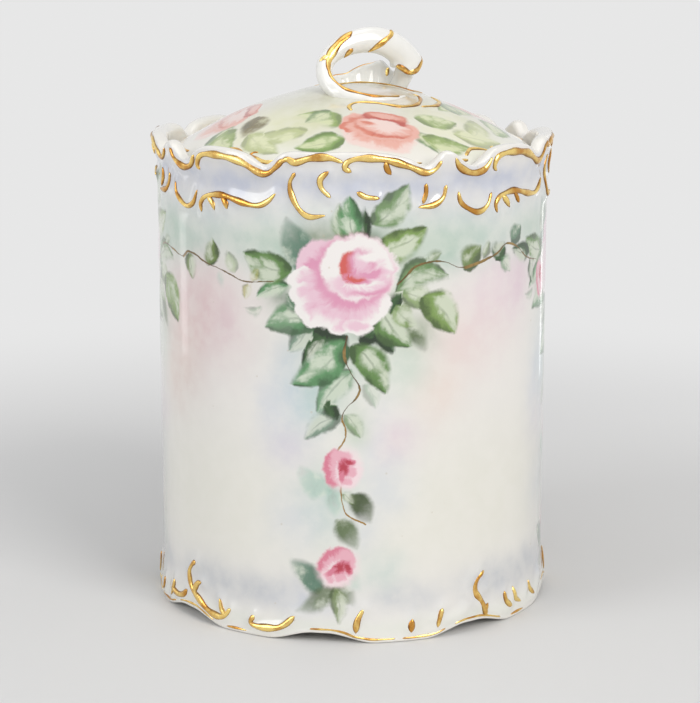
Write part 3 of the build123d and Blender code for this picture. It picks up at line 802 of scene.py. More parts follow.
def gildPiece(name, strokes, half, height):
    # a stroke is points, normals and, where it differs, its own half width
    points, faces, edges = [], [], []
    count = 0
    for place, normal, *own in strokes:
        mesh, quads, edge = strokeMesh(place, normal, own[0] if own else half, height, count)
        points.append(mesh)
        faces += quads
        edges.append(edge)
        count += len(mesh)
    return makePiece(name, np.vstack(points), faces, {"edge": np.concatenate(edges)})


def wallStroke(x, z, lift=0.0):
    return wallPoint(x, z, lift), roundPoint(1.0, x / jarShape["wall"], 0.0)


gilding = []
for key, work in goldWork.items():
    node, half, height = work["node"], work["half"], work["height"]
    kinds = [wallLines(work["lines"]), wallLines(work.get("sideLines", work["lines"]))]
    strokes = []
    for panel in range(panels):
        strokes += [wallStroke(line[:, 0] + panel * panelWidth, line[:, 1]) for line in kinds[panel % 2]]
    piece = gildPiece(key, strokes, half, height)
    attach(piece, "jar")
    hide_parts(node)
    gilding.append(piece)

footGilt = {   # thin line along the foot's edge, broken between panels: from and to in degrees
    "half": 0.5, "height": 0.25, "above": 1.1, "sunk": 0.05, "density": 2.2,
    "spans": [(-38.0, -31.0), (-12.0, 12.0), (14.0, 27.0), (30.0, 47.0)],
}
edgeStrokes = []
for panel in range(panels):
    for start, stop in footGilt["spans"]:
        turns = np.linspace(start, stop, int((stop - start) * footGilt["density"]))
        x = turns * degree + panel * panelWidth
        edgeStrokes.append(wallStroke(x, footEdge(x) + footGilt["above"], -footGilt["sunk"]))
footLine = gildPiece("footEdgeLine", edgeStrokes, footGilt["half"], footGilt["height"])
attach(footLine, "jar")
gilding.append(footLine)

lidGilt = {
    "half": 0.95, "height": 0.3, "lean": 0.006, "reach": 54.2, "points": 24, "spacing": 0.4,
    # middle and length of each stroke on the edge, in degrees
    "strokes": [(-74, 16), (-52, 10), (-27, 13), (-6, 9), (15, 14), (34, 10), (52, 12), (75, 9)],
    "strokeTurns": (0, 180),
    "curls": [   # degrees, reach
        [(-50.5, 52.6), (-47.1, 50.6), (-45.3, 50.0), (-42.7, 50.1), (-40.0, 50.9), (-37.8, 52.0)],
        [(-33.2, 50.6), (-34.8, 50.7), (-35.2, 52.0), (-32.2, 52.9), (-30.3, 53.5), (-27.9, 53.8),
         (-25.6, 53.5)],
    ],
    "curlTurns": (0, 90, 180, 270),
}
edgeRidges = []
for turned in lidGilt["strokeTurns"]:
    for middle, length in lidGilt["strokes"]:
        turns = middle + turned + length * np.linspace(-0.5, 0.5, lidGilt["points"])
        edgeRidges.append(roundPoint(lidGilt["reach"], np.radians(turns), 0.0)[:, :2])
for turned in lidGilt["curlTurns"]:
    for curl in lidGilt["curls"]:
        turns, reach = np.array(curl).T
        curlPoints = roundPoint(reach, np.radians(turns + turned), 0.0)[:, :2]
        edgeRidges.append(smoothLine(curlPoints, lidGilt["spacing"]))


def crownStroke(line):
    lean = line * lidGilt["lean"]
    return lidPoint(*line.T), unit(np.column_stack([lean, np.ones(len(line))]))


handleGilt = {
    "half": 0.7, "height": 0.3, "spacing": 0.4,
    "scale": (80, 0.05),   # millimetres for the strap's length and for a degree round it, to space the points
    "strokes": [           # half width, then share of the strap's length and degrees round it
        (1.5, [(0.60, 78), (0.56, 64), (0.515, 48), (0.47, 30), (0.425, 14), (0.385, 2)]),
        (0.85, [(0.415, 10), (0.375, -2), (0.33, -18), (0.28, -40), (0.22, -62), (0.15, -74), (0.085, -84),
                (0.03, -90)]),
        (0.9, [(0.47, 30), (0.455, 58), (0.435, 88)]),
        (1.3, [(0.575, -14), (0.555, -36), (0.53, -62)]),
        (1.15, [(0.65, -66), (0.68, -34), (0.71, 0), (0.73, 36), (0.735, 80)]),
    ],
    "lipHalf": 1.2, "lipTurns": (-72, -35, 0, 35, 70, 92),
    "leafEnds": (2, -20), "leafSunk": 0.15, "leafOut": (0.0, -0.25, 0.97),
    "tickAt": 11.6, "tickSpacing": 0.3, "tickOut": (-0.45, -0.85, 0.28),   # a touch down the leaf's face
}


def handleStroke(line):
    dense = smoothLine(np.array(line) * handleGilt["scale"], handleGilt["spacing"]) / handleGilt["scale"]
    share, turn = dense[:, 0], np.radians(dense[:, 1])
    point = handlePoint(share, turn)
    return point, unit(handlePoint(share, turn, 1.0) - point)


lipLine = [(lipPlace(radians(turn)), turn) for turn in handleGilt["lipTurns"]]
strokes = [(*handleStroke(line), half) for half, line in handleGilt["strokes"]]
strokes.append((*handleStroke(lipLine), handleGilt["lipHalf"]))
leafLine = leafEdge[slice(*handleGilt["leafEnds"])] - (0, 0, handleGilt["leafSunk"])
strokes.append((leafLine, np.tile(handleGilt["leafOut"], (len(leafLine), 1))))
tickRing = leafRings[np.argmin(np.abs(leafEdge[:, 0] - handleGilt["tickAt"]))]
tickLine = smoothLine(tickRing[5:1:-1], handleGilt["tickSpacing"])   # from the leaf's top down its front
strokes.append((tickLine, np.tile(handleGilt["tickOut"], (len(tickLine), 1))))
lidStrokes = [crownStroke(line) for line in crownRidges + edgeRidges]
lidGold = gildPiece("lidGilding", lidStrokes, lidGilt["half"], lidGilt["height"])
loopGold = gildPiece("handleGilding", strokes, handleGilt["half"], handleGilt["height"])
for piece in (lidGold, loopGold):
    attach(piece, "lid")
    gilding.append(piece)
print("laid the gilding", len(gilding), "pieces")

# shader helpers

number, colourKind, vectorKind = "NodeSocketFloat", "NodeSocketColor", "NodeSocketVector"


def feed(tree, node, inputs):
    for key, value in inputs.items():
        if isinstance(value, bpy.types.NodeSocket):
            tree.links.new(value, node.inputs[key])
        else:
            node.inputs[key].default_value = value
    return node.outputs


def addNode(tree, kind, inputs=None, **settings):
    node = tree.nodes.new(kind)
    for key, value in settings.items():
        setattr(node, key, value)
    return feed(tree, node, inputs or {})


def fillGroup(tree, group, inputs):
    return addNode(tree, "ShaderNodeGroup", inputs, node_tree=group)


def calc(tree, operation, a, b=0.0, c=0.0):
    return addNode(tree, "ShaderNodeMath", {0: a, 1: b, 2: c}, operation=operation)[0]


def times(tree, a, b):
    return calc(tree, "MULTIPLY", a, b)


def minus(tree, a, b):
    return calc(tree, "SUBTRACT", a, b)


def timesPlus(tree, a, b, c):
    return calc(tree, "MULTIPLY_ADD", a, b, c)


def between(tree, share, low, high):
    return timesPlus(tree, share, minus(tree, high, low), low)


def vectorCalc(tree, operation, a, b=(0, 0, 0)):
    found = addNode(tree, "ShaderNodeVectorMath", {0: a, 1: b}, operation=operation)
    return found["Value" if operation in ("LENGTH", "DOT_PRODUCT") else "Vector"]


def vector(tree, x, y, z=0.0):
    return addNode(tree, "ShaderNodeCombineXYZ", {0: x, 1: y, 2: z})[0]


def ramp(tree, value, low, high, toLow=0.0, toHigh=1.0):
    given = {"Value": value, "From Min": low, "From Max": high, "To Min": toLow, "To Max": toHigh}
    return addNode(tree, "ShaderNodeMapRange", given, interpolation_type="SMOOTHSTEP")["Result"]


def blend(tree, factor, under, over):
    return addNode(tree, "ShaderNodeMix", {0: factor, 6: under, 7: over}, data_type="RGBA")[2]


def noise(tree, place, scale, detail, roughness=0.5):
    given = {"Vector": place, "Scale": scale, "Detail": detail, "Roughness": roughness}
    return addNode(tree, "ShaderNodeTexNoise", given)[0]


def objectPlace(tree):
    return addNode(tree, "ShaderNodeTexCoord")["Object"]


def attribute(tree, name):
    return addNode(tree, "ShaderNodeAttribute", attribute_name=name)


def tone(colour):
    return (*linear(colour), 1.0)


def newGroup(name, inputs, outputs):
    group = bpy.data.node_groups.new(name, "ShaderNodeTree")
    for side, sockets in (("INPUT", inputs), ("OUTPUT", outputs)):
        for key, kind in sockets.items():
            group.interface.new_socket(key, in_out=side, socket_type=kind)
    return group, group.nodes.new("NodeGroupInput").outputs, group.nodes.new("NodeGroupOutput").inputs


brushNoise = {"Edge": (420.0, 3.0, 0.6), "Pool": (150.0, 4.0, 0.55)}   # scale, detail, roughness


def brushGroup():
    # uneven edges and pooling of hand-laid colour
    group, _, out = newGroup("brushwork", {}, {"Edge": number, "Pool": number})
    place = objectPlace(group)
    group.links.new(minus(group, noise(group, place, *brushNoise["Edge"]), 0.5), out["Edge"])
    group.links.new(noise(group, place, *brushNoise["Pool"]), out["Pool"])
    return group


leafBrush = {   # four numbers are a ramp: from low, from high, to low, to high
    "wander": 3.6, "ragged": 0.8,                          # how far pooling and edge noise move the outline
    "unsteady": 0.5, "darkHalf": (0.45, -0.35),
    "softEdge": (-0.8, 1.7), "crispEdge": (-0.45, 0.75),   # of the pale and the dark half
    "thinDrift": 1.5, "thinTip": (0.45, 1.05, 0.0, 0.6),   # a plain leaf thins out to its tip
    "strokeAlong": 9.0, "strokeLean": -3.8, "strokeAcross": 0.9, "strokePool": 5.0,
    "strokeNoise": (0.7, 2.0), "streak": 0.5, "mottle": 1.9,
    "deepRim": (0.05, 0.95, 0.34, 1.0), "paleRim": (0.25, 1.05, 0.08, 0.46),
    "baseShade": (0.34, 0.0, 0.0, 0.65), "tipShade": (0.78, 1.0, 0.0, 0.3),
    "plainMottle": 2.2, "plainLean": -0.16, "plainShade": 0.52,
    "heavyShade": 1.1, "heavyDark": 0.5,                   # for a leaf in deep shadow
    "dark": (16, 42, 8), "darkShare": 0.66, "paleShare": 0.70,
    "tintFrom": (0.05, 0.6), "darkFrom": (0.55, 1.15),
    "ribWidth": (0.11, 0.02), "ribEnd": (0.92, 0.5), "ribBreaks": (0.38, 0.58, 0.4, 0.02),
}


def leafGroup():
    # two halves of a leaf in loose strokes: one dark from the midrib out, one pale with a deeper edge
    names = {"Under": colourKind, "Form": colourKind, "Distance": number, "Tint": colourKind,
             "Pale": colourKind, "Depth": number, "Plain": number, "Edge": number, "Pool": number}
    group, given, out = newGroup("paintedLeaf", names, {"Color": colourKind})
    look = leafBrush
    along, across, strength = addNode(group, "ShaderNodeSeparateColor", {0: given["Form"]})
    wide = calc(group, "ABSOLUTE", across)
    drift = minus(group, given["Pool"], 0.5)
    halved = minus(group, 1.0, given["Plain"])
    unsteady = timesPlus(group, drift, look["unsteady"], across)
    darkHalf = ramp(group, unsteady, *look["darkHalf"])
    # outline
    distance = timesPlus(group, drift, look["wander"], given["Distance"])
    distance = timesPlus(group, given["Edge"], look["ragged"], distance)
    soft = ramp(group, distance, *look["softEdge"])
    crisp = ramp(group, distance, *look["crispEdge"])
    edge = between(group, times(group, darkHalf, halved), soft, crisp)
    cover = times(group, edge, calc(group, "MINIMUM", strength, 1.0))
    thinned = ramp(group, timesPlus(group, drift, look["thinDrift"], along), *look["thinTip"])
    cover = times(group, cover, minus(group, 1.0, times(group, thinned, given["Plain"])))
    # strokes that lean out from the midrib
    strokeAt = timesPlus(group, wide, look["strokeLean"], times(group, along, look["strokeAlong"]))
    strokeAside = times(group, across, look["strokeAcross"])
    strokePlace = vector(group, strokeAt, strokeAside, times(group, given["Pool"], look["strokePool"]))
    streak = minus(group, noise(group, strokePlace, *look["strokeNoise"]), 0.5)
    shade = between(group, darkHalf, ramp(group, wide, *look["paleRim"]), ramp(group, wide, *look["deepRim"]))
    shade = timesPlus(group, streak, look["streak"], shade)
    shade = timesPlus(group, drift, look["mottle"], shade)
    for end in ("baseShade", "tipShade"):
        shade = calc(group, "ADD", shade, ramp(group, along, *look[end]))
    plainShade = timesPlus(group, across, look["plainLean"], look["plainShade"])
    plainShade = timesPlus(group, drift, look["plainMottle"], plainShade)
    shade = between(group, given["Plain"], shade, plainShade)
    # a strength over 1 is a leaf in deep shadow
    heavy = calc(group, "MAXIMUM", minus(group, strength, 1.0), 0.0)
    shade = timesPlus(group, heavy, look["heavyShade"], shade)
    pale = blend(group, look["paleShare"], given["Tint"], given["Pale"])
    darkShare = timesPlus(group, heavy, look["heavyDark"], look["darkShare"])
    dark = blend(group, darkShare, given["Tint"], tone(look["dark"]))
    colour = blend(group, ramp(group, shade, *look["tintFrom"]), pale, given["Tint"])
    depth = calc(group, "ADD", given["Depth"], heavy)
    colour = blend(group, times(group, ramp(group, shade, *look["darkFrom"]), depth), colour, dark)
    # a midrib that breaks off where the colour pools
    rib = ramp(group, calc(group, "ABSOLUTE", unsteady), *look["ribWidth"])
    rib = times(group, rib, ramp(group, along, *look["ribEnd"]))
    rib = times(group, rib, times(group, given["Depth"], ramp(group, given["Pool"], *look["ribBreaks"])))
    colour = blend(group, times(group, rib, halved), colour, dark)
    group.links.new(blend(group, cover, given["Under"], colour), out["Color"])
    return group


petalBrush = {"rimWear": 1.3, "rim": (0.35, 1.0), "edgeWear": 0.2}


def petalGroup():
    # one petal laid over what is there: its own tone inside, running to another at the rim
    names = {"Under": colourKind, "Place": vectorKind, "Centre": vectorKind, "Size": vectorKind,
             "Lean": vectorKind, "Soft": number, "Wear": number, "Inner": colourKind, "Rim": colourKind}
    group, given, out = newGroup("petal", names, {"Color": colourKind})
    local = vectorCalc(group, "SUBTRACT", given["Place"], given["Centre"])
    local = vectorCalc(group, "DIVIDE", local, given["Size"])
    far = vectorCalc(group, "LENGTH", local)
    lean = vectorCalc(group, "DOT_PRODUCT", local, given["Lean"])
    wear = minus(group, given["Wear"], 0.5)
    worn = timesPlus(group, wear, petalBrush["rimWear"], far)
    rim = ramp(group, calc(group, "ADD", worn, lean), *petalBrush["rim"])
    colour = blend(group, rim, given["Inner"], given["Rim"])
    outside, inside = calc(group, "ADD", given["Soft"], 1.0), minus(group, 1.0, given["Soft"])
    cover = ramp(group, timesPlus(group, wear, petalBrush["edgeWear"], far), outside, inside)
    group.links.new(blend(group, cover, given["Under"], colour), out["Color"])
    return group


petalLaid = petalGroup()
flowerBrush = {
    "heart": (0.15, 0.12, 0), "rayStretch": 0.55, "rayNoise": (5.0, 3.0, 0.6), "inside": (0.0, 0.1),
    # how far edge noise and pooling move the petals
    "unsteady": {"paintedRose": (0.13, 0.36), "paintedLidRose": (0.2, 0.36), "paintedBud": (0.36, 0.5)},
}


def flowerPlace(group, given, wander, drift):
    # place in the flower, a little unsteady, and brush marks that run out from its heart
    parts = addNode(group, "ShaderNodeSeparateColor", {0: given["Place"]})
    u = timesPlus(group, given["Edge"], wander, parts[0])
    v = timesPlus(group, minus(group, given["Pool"], 0.5), drift, parts[1])
    place = vector(group, u, v)
    aside = vectorCalc(group, "SUBTRACT", place, flowerBrush["heart"])
    ray = addNode(group, "ShaderNodeSeparateXYZ", {0: vectorCalc(group, "NORMALIZE", aside)})
    far = times(group, vectorCalc(group, "LENGTH", aside), flowerBrush["rayStretch"])
    return place, noise(group, vector(group, ray[0], ray[1], far), *flowerBrush["rayNoise"])


# centre, size, lean towards the rim's tone, softness, inner tone, rim tone, from the back petals forward
rosePetals = [
    ((0.22, 0.32), (0.80, 0.68), (0.1, 0.2), 0.06, "Petal", "Bowl"),        # pale back petals, top and right
    ((-0.32, 0.50), (0.50, 0.42), (-0.2, 0.3), 0.08, "Shade", "Petal"),
    ((-0.52, 0.34), (0.34, 0.34), (-0.4, 0.2), 0.09, "Shade", "Petal"),
    ((-0.70, 0.08), (0.30, 0.28), (-0.5, 0.1), 0.07, "Petal", "Bowl"),
    ((-0.68, -0.20), (0.31, 0.26), (-0.5, -0.1), 0.07, "Petal", "Bowl"),
    ((-0.48, -0.47), (0.40, 0.33), (-0.4, -0.4), 0.07, "Petal", "Bowl"),
    ((0.50, -0.36), (0.38, 0.40), (0.4, -0.2), 0.08, "Petal", "Bowl"),
    ((0.04, -0.56), (0.58, 0.34), (0.0, -0.4), 0.10, "Petal", "Bowl"),
    ((-0.02, -0.82), (0.24, 0.17), (0.0, -0.2), 0.12, "Petal", "Bowl"),     # two turned-over lips below
    ((0.29, -0.82), (0.27, 0.19), (0.1, -0.2), 0.12, "Petal", "Bowl"),
    ((-0.02, -0.14), (0.70, 0.56), (0.0, 0.0), 0.24, "Shade", "Petal"),     # a second, deeper ring
    ((0.02, -0.06), (0.62, 0.54), (0.0, 0.0), 0.16, "Shade", "Petal"),
    ((0.20, 0.30), (0.72, 0.69), (0.0, 0.0), 0.16, "Shade", "Shade"),
    ((0.26, 0.36), (0.66, 0.62), (0.0, 0.0), 0.07, "Bowl", "Bowl"),
    ((0.26, 0.00), (0.48, 0.20), (0.0, 0.0), 0.40, "Petal", "Petal"),
    ((0.45, 0.02), (0.40, 0.22), (0.0, 0.0), 0.20, "Shade", "Shade"),       # a fold at the bowl's lower right
    ((0.37, 0.11), (0.45, 0.24), (0.0, 0.0), 0.16, "Bowl", "Petal"),
    ((0.38, 0.42), (0.44, 0.34), (0.0, 0.0), 0.22, "Petal", "Bowl"),
    ((0.15, 0.38), (0.20, 0.32), (0.0, 0.0), 0.16, "Heart", "Heart"),
    ((0.28, 0.17), (0.28, 0.14), (0.2, 0.0), 0.24, "Heart", "Shade"),
    ((0.36, 0.48), (0.25, 0.27), (0.0, 0.0), 0.32, "Petal", "Shade"),
    ((0.58, 0.24), (0.32, 0.09), (0.3, 0.0), 0.40, "Shade", "Petal"),
    ((0.52, 0.60), (0.24, 0.10), (0.0, 0.0), 0.45, "Bowl", "Bowl"),
]
lidRosePetals = [
    ((0.00, -0.10), (0.98, 0.82), (0.0, -0.3), 0.10, "Petal", "Bowl"),
    ((-0.62, 0.26), (0.38, 0.40), (-0.3, 0.2), 0.12, "Shade", "Petal"),     # left and right petals
    ((-0.74, -0.08), (0.27, 0.27), (-0.4, 0.0), 0.12, "Petal", "Shade"),
    ((0.66, 0.16), (0.34, 0.46), (0.4, 0.1), 0.12, "Shade", "Petal"),
    ((-0.16, -0.56), (0.62, 0.38), (-0.2, -0.3), 0.16, "Petal", "Bowl"),    # pale petals below
    ((0.36, -0.58), (0.52, 0.36), (0.2, -0.3), 0.18, "Petal", "Bowl"),
    ((0.06, -0.10), (0.82, 0.50), (0.0, 0.0), 0.16, "Shade", "Petal"),
    ((0.08, -0.01), (0.80, 0.46), (0.0, 0.0), 0.14, "Bowl", "Petal"),
    ((0.08, 0.08), (0.74, 0.46), (0.0, 0.0), 0.10, "Heart", "Shade"),       # a red fold under the bowl's lip
    ((0.10, 0.19), (0.72, 0.42), (0.0, 0.0), 0.12, "Bowl", "Petal"),
    ((-0.34, 0.20), (0.24, 0.13), (0.0, 0.0), 0.35, "Shade", "Petal"),
    ((0.08, 0.60), (0.60, 0.30), (0.0, 0.0), 0.12, "Shade", "Heart"),       # inside of the bowl
    ((0.10, 0.74), (0.54, 0.20), (0.0, 0.2), 0.20, "Petal", "Shade"),
    ((0.10, 0.48), (0.44, 0.10), (0.0, 0.0), 0.35, "Heart", "Heart"),
    ((0.12, 0.36), (0.52, 0.12), (0.0, 0.0), 0.30, "Bowl", "Bowl"),
]
budPetals = [
    ((0.08, 0.00), (0.90, 0.94), (0.2, 0.0), 0.34, "Petal", "Bowl"),        # pale on the right, fading out
    ((-0.30, 0.02), (0.60, 0.88), (-0.4, 0.0), 0.14, "Petal", "Shade"),     # a pink petal round the left
    ((-0.04, 0.62), (0.52, 0.30), (-0.1, 0.3), 0.24, "Petal", "Petal"),
    ((-0.06, -0.10), (0.38, 0.66), (0.0, 0.0), 0.26, "Bowl", "Petal"),
    ((0.60, -0.16), (0.40, 0.50), (0.4, -0.2), 0.36, "Petal", "Bowl"),
    ((0.30, -0.64), (0.48, 0.24), (0.2, -0.3), 0.36, "Petal", "Bowl"),
    ((0.12, 0.10), (0.30, 0.50), (0.1, 0.1), 0.20, "Heart", "Shade"),
    ((0.36, 0.44), (0.32, 0.17), (0.2, 0.2), 0.26, "Heart", "Shade"),
    ((0.08, -0.34), (0.15, 0.30), (0.0, 0.0), 0.34, "Shade", "Shade"),
]


def flowerGroup(name, petals):
    names = {"Under": colourKind, "Place": colourKind, "Inside": number, "Edge": number, "Pool": number,
             "Petal": colourKind, "Shade": colourKind, "Bowl": colourKind, "Heart": colourKind}
    group, given, out = newGroup(name, names, {"Color": colourKind})
    place, wear = flowerPlace(group, given, *flowerBrush["unsteady"][name])
    colour = given["Under"]
    for centre, size, lean, soft, inner, rim in petals:
        colour = fillGroup(group, petalLaid, {
            "Under": colour, "Place": place, "Centre": (*centre, 0), "Size": (*size, 1), "Lean": (*lean, 0),
            "Soft": soft, "Wear": wear, "Inner": given[inner], "Rim": given[rim]})[0]
    inside = ramp(group, given["Inside"], *flowerBrush["inside"])
    group.links.new(blend(group, inside, given["Under"], colour), out["Color"])
    return group


glazeFinish = {
    "slow": (70.0, 2.0), "fine": (700.0, 2.0), "fineShare": 0.06,   # noise scale and detail
    "roughness": (0.3, 0.7, 0.10, 0.19), "specks": 120.0, "speckEdge": (0.06, 0.03), "speckShare": 0.35,
    "speckTone": (196, 184, 160), "bump": 0.22, "bumpDepth": 0.0006,
    "ior": 1.52, "coat": 0.6, "coatRoughness": 0.05,
}


def glazeGroup():
    # slow waviness of fired glaze, with a few pin specks
    group, _, out = newGroup("firedGlaze", {}, {"Height": number, "Roughness": number, "Speck": number})
    place = objectPlace(group)
    slow = noise(group, place, *glazeFinish["slow"])
    fine = noise(group, place, *glazeFinish["fine"])
    specks = addNode(group, "ShaderNodeTexVoronoi", {"Vector": place, "Scale": glazeFinish["specks"]})
    speck = ramp(group, specks["Distance"], *glazeFinish["speckEdge"])
    group.links.new(timesPlus(group, fine, glazeFinish["fineShare"], slow), out["Height"])
    group.links.new(ramp(group, slow, *glazeFinish["roughness"]), out["Roughness"])
    group.links.new(times(group, speck, glazeFinish["speckShare"]), out["Speck"])
    return group


brushwork, paintedLeaf, firedGlaze = brushGroup(), leafGroup(), glazeGroup()
paintedRose = flowerGroup("paintedRose", rosePetals)
paintedLidRose = flowerGroup("paintedLidRose", lidRosePetals)
paintedBud = flowerGroup("paintedBud", budPetals)

groundBrush = {
    "veil": (0.34, 0.66, 0.0, 0.3), "veilTone": (243, 240, 233),   # bare glaze that shows through the washes
    "stemWander": 0.6, "stemWidth": (0.36, 0.6, 0.35, 1.2), "stemEdge": (0.12, -0.12), "stemEnds": (0.1, 0.4),
    "stemPool": (0.42, 0.70), "stemDark": (62, 48, 22), "stemLight": (160, 130, 66),
    "stemGold": (166, 126, 48),
}


def groundGroup():
    # tinted grounds, then the layers of leaves, then stems
    group, given, out = newGroup("paintedGround", {"Pale": colourKind, "Depth": number},
                                 {"Color": colourKind, "Edge": number, "Pool": number})
    look = groundBrush
    brush = fillGroup(group, brushwork, {})
    veil = ramp(group, brush["Pool"], *look["veil"])
    colour = blend(group, veil, attribute(group, "wash")["Color"], tone(look["veilTone"]))
    for layer in range(leafLayers):
        form, tint = attribute(group, f"leafForm{layer}"), attribute(group, f"leafTint{layer}")
        colour = fillGroup(group, paintedLeaf, {
            "Under": colour, "Form": form["Color"], "Distance": form["Alpha"], "Tint": tint["Color"],
            "Pale": given["Pale"], "Depth": given["Depth"], "Plain": tint["Alpha"],
            "Edge": brush["Edge"], "Pool": brush["Pool"]})[0]
    stem = attribute(group, "stem")["Color"]
    side, reach, width = addNode(group, "ShaderNodeSeparateColor", {0: stem})
    off = calc(group, "ABSOLUTE", timesPlus(group, brush["Edge"], look["stemWander"], side))
    width = times(group, width, ramp(group, brush["Pool"], *look["stemWidth"]))
    line = ramp(group, minus(group, off, width), *look["stemEdge"])
    line = times(group, line, ramp(group, reach, *look["stemEnds"]))
    patchShare = ramp(group, brush["Pool"], *look["stemPool"])
    stemTone = blend(group, patchShare, tone(look["stemDark"]), tone(look["stemLight"]))
    stemTone = blend(group, attribute(group, "stemGold")["Fac"], stemTone, tone(look["stemGold"]))
    group.links.new(blend(group, line, colour, stemTone), out["Color"])
    group.links.new(brush["Edge"], out["Edge"])
    group.links.new(brush["Pool"], out["Pool"])
    return group


paintedGround = groundGroup()


def newMaterial(name):
    material = bpy.data.materials.new(name)
    material.use_nodes = True
    return material, material.node_tree, material.node_tree.nodes["Principled BSDF"]


def bumpNormal(tree, height, strength, depth):
    return addNode(tree, "ShaderNodeBump", {"Height": height, "Strength": strength, "Distance": depth})[0]


def glaze(tree, shader, colour):
    fired = fillGroup(tree, firedGlaze, {})
    feed(tree, shader, {
        "Base Color": blend(tree, fired["Speck"], colour, tone(glazeFinish["speckTone"])),
        "Roughness": fired["Roughness"],
        "Normal": bumpNormal(tree, fired["Height"], glazeFinish["bump"], glazeFinish["bumpDepth"]),
        "IOR": glazeFinish["ior"], "Coat Weight": glazeFinish["coat"],
        "Coat Roughness": glazeFinish["coatRoughness"]})


def layGround(tree, tones):
    return fillGroup(tree, paintedGround, {"Pale": tone(tones["leafPale"]), "Depth": tones["leafDepth"]})


def layFlower(tree, flower, place, ground, under, tones):
    held = attribute(tree, place)
    given = {"Under": under, "Place": held["Color"], "Inside": held["Alpha"],
             "Edge": ground["Edge"], "Pool": ground["Pool"]}
    given.update({key: tone(value) for key, value in tones.items()})
    return fillGroup(tree, flower, given)[0]


wallTones = {
    "leafPale": (236, 240, 224), "leafDepth": 1.0,
    "rose": {"Petal": (237, 201, 215), "Shade": (225, 154, 184), "Bowl": (245, 240, 237),
             "Heart": (214, 92, 84)},
    "bud": {"Petal": (236, 178, 192), "Shade": (221, 128, 150), "Bowl": (246, 222, 226),
            "Heart": (186, 56, 76)},
}
wallMaterial, tree, shader = newMaterial("paintedPorcelain")
ground = layGround(tree, wallTones)
painted = layFlower(tree, paintedRose, "rose", ground, ground["Color"], wallTones["rose"])
glaze(tree, shader, layFlower(tree, paintedBud, "bud", ground, painted, wallTones["bud"]))

lidTones = {
    "leafPale": (240, 242, 200), "leafDepth": 0.6,
    "rose": {"Petal": (236, 176, 160), "Shade": (219, 124, 100), "Bowl": (244, 216, 207),
             "Heart": (190, 70, 52)},
}
lidMaterial, tree, shader = newMaterial("lidPorcelain")
ground = layGround(tree, lidTones)
glaze(tree, shader, layFlower(tree, paintedLidRose, "rose", ground, ground["Color"], lidTones["rose"]))

handleTones = {"low": (241, 240, 235), "high": (246, 245, 241), "pool": (0.3, 0.7)}
handleMaterial, tree, shader = newMaterial("handlePorcelain")
patchShare = ramp(tree, fillGroup(tree, brushwork, {})["Pool"], *handleTones["pool"])
glaze(tree, shader, blend(tree, patchShare, tone(handleTones["low"]), tone(handleTones["high"])))

goldTones = {
    # low and high: darker and brighter gold of the painted reflection patches
    "low": (206, 148, 70), "high": (255, 224, 140), "pool": (0.36, 0.64),
    "thinAndShaded": (116, 66, 26), "thinAndShadedEdge": (0.45, 1.0), "thinAndShadedShare": 0.85, "ragged": 0.6,   # thin gold and painted shade along the edges
    "roughness": (0.3, 0.7, 0.13, 0.26), "bump": 0.35, "bumpDepth": 0.0004,
}
goldMaterial, tree, shader = newMaterial("gilding")
brush = fillGroup(tree, brushwork, {})
# painted shade: the sides of each raised stroke turn dark brown, partly as thin gold, partly as shade
thinAndShaded = timesPlus(tree, brush["Edge"], goldTones["ragged"], attribute(tree, "edge")["Fac"])
thinAndShaded = times(tree, ramp(tree, thinAndShaded, *goldTones["thinAndShadedEdge"]), goldTones["thinAndShadedShare"])
# painted reflection: noise patches of darker and brighter gold laid into the base colour
patchShare = ramp(tree, brush["Pool"], *goldTones["pool"])
colour = blend(tree, patchShare, tone(goldTones["low"]), tone(goldTones["high"]))
feed(tree, shader, {
    "Base Color": blend(tree, thinAndShaded, colour, tone(goldTones["thinAndShaded"])),
    "Roughness": ramp(tree, brush["Pool"], *goldTones["roughness"]),
    "Normal": bumpNormal(tree, brush["Edge"], goldTones["bump"], goldTones["bumpDepth"]),
    "Metallic": 1.0})

dressed = [(jarBody, wallMaterial, "painted_porcelain"), (lidShell, lidMaterial, "lid_porcelain"),
           (lidHandle, handleMaterial, "handle_porcelain")]
dressed += [(piece, goldMaterial, "gilding") for piece in gilding]
for piece, material, slotName in dressed:
    piece.data.materials.append(material)
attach(jarBody, "jar")
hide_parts("jar_body")
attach(lidShell, "lid")
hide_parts("lid")
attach(lidHandle, "lid")
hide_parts("lid_handle")
print("dressed", len(dressed), "pieces")

# floor, light and camera, in metres

studio = {
    "backdrop": (0.80, 0.80, 0.80, 1), "floor": (0.76, 0.757, 0.75, 1), "floorRoughness": 0.7,
    "floorSize": 6.0, "floorFade": (0.10, 0.45),   # away from the jar the floor runs into the plain backdrop
    "sky": (0.88, 0.885, 0.90, 1), "skyStrength": 0.44, "aim": (0, 0, 0.085),
}
lamps = {   # place, width and height, power, colour
    "windowRight": ((0.70, -0.95, 0.80), (0.6, 0.8), 8.6, (1.0, 0.985, 0.965)),
    "fillLeft": ((-0.95, -0.60, 0.60), (0.5, 0.8), 3.9, (0.97, 0.985, 1.0)),
    "stripRight": ((0.17, 0.20, 0.15), (0.010, 0.29), 0.012, (1.0, 1.0, 1.0)),
    "stripLeft": ((-0.30, 0.10, 0.16), (0.04, 0.30), 0.03, (1.0, 1.0, 1.0)),
    "topSoft": ((0.0, -0.1, 1.3), (0.9, 0.9), 2.8, (1.0, 1.0, 1.0)),
}
cameraView = {"place": (0, -0.690, 0.225), "down": 12.18, "sensor": 36, "lens": 113.2,
              "shiftPixels": -2.3, "longSide": 703}

bpy.ops.mesh.primitive_grid_add(x_subdivisions=8, y_subdivisions=8, size=studio["floorSize"])
floor = bpy.context.object
floor.name = "studioFloor"


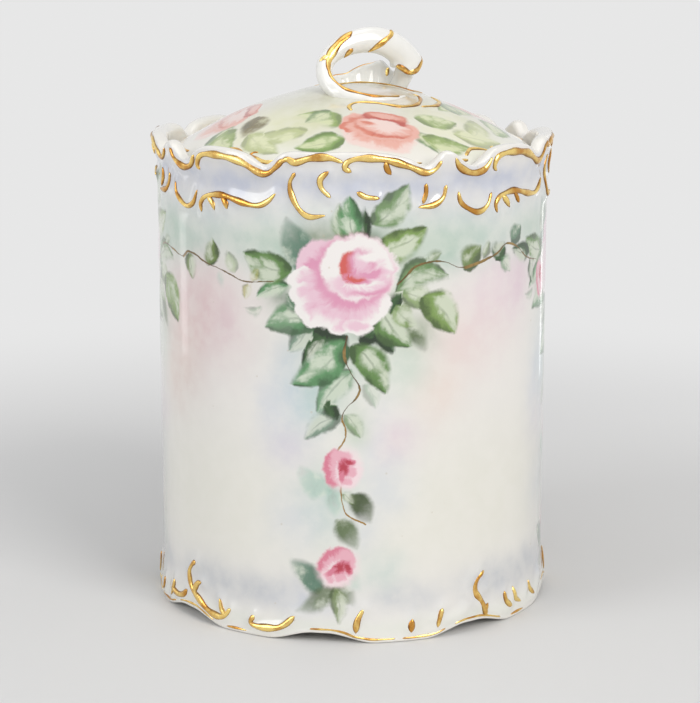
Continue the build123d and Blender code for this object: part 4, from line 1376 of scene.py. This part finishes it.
def seenRays(tree):
    rays = addNode(tree, "ShaderNodeLightPath")
    glossy = calc(tree, "MAXIMUM", rays["Is Glossy Ray"], rays["Is Transmission Ray"])
    return calc(tree, "MAXIMUM", rays["Is Camera Ray"], glossy)


def mixSurface(tree, factor, under, over, output):
    mixed = addNode(tree, "ShaderNodeMixShader", {0: factor, 1: under, 2: over})[0]
    tree.links.new(mixed, tree.nodes[output].inputs["Surface"])


floorMaterial, tree, shader = newMaterial("paleFloor")
feed(tree, shader, {"Base Color": studio["floor"], "Roughness": studio["floorRoughness"]})
away = vectorCalc(tree, "LENGTH", objectPlace(tree))
plain = times(tree, ramp(tree, away, *studio["floorFade"]), seenRays(tree))
paper = addNode(tree, "ShaderNodeEmission", {"Color": studio["backdrop"], "Strength": 1.0})
mixSurface(tree, plain, shader.outputs[0], paper[0], "Material Output")
floor.data.materials.append(floorMaterial)

world = bpy.data.worlds.new("studio")
bpy.context.scene.world = world
world.use_nodes = True
tree = world.node_tree
sky = feed(tree, tree.nodes["Background"], {"Color": studio["sky"], "Strength": studio["skyStrength"]})
seen = addNode(tree, "ShaderNodeBackground", {"Color": studio["backdrop"], "Strength": 1.0})
mixSurface(tree, seenRays(tree), sky[0], seen[0], "World Output")

for key, (place, size, power, colour) in lamps.items():
    light = bpy.data.lights.new(key, "AREA")
    light.shape = "RECTANGLE"
    light.size, light.size_y = size
    light.energy = power
    light.color = colour
    holder = bpy.data.objects.new(key, light)
    holder.location = place
    holder.visible_camera = False
    aim = Vector(studio["aim"]) - holder.location
    holder.rotation_euler = aim.to_track_quat("-Z", "Y").to_euler()
    bpy.context.scene.collection.objects.link(holder)

camera = bpy.data.objects.new("camera", bpy.data.cameras.new("camera"))
bpy.context.scene.collection.objects.link(camera)
camera.location = cameraView["place"]
camera.rotation_euler = (radians(90 - cameraView["down"]), 0, 0)
camera.data.sensor_width = cameraView["sensor"]
camera.data.lens = cameraView["lens"]
camera.data.shift_x = cameraView["shiftPixels"] / cameraView["longSide"]
bpy.context.scene.camera = camera
bpy.context.scene.view_settings.view_transform = "Standard"
print("lit the studio", len(lamps), "lamps")
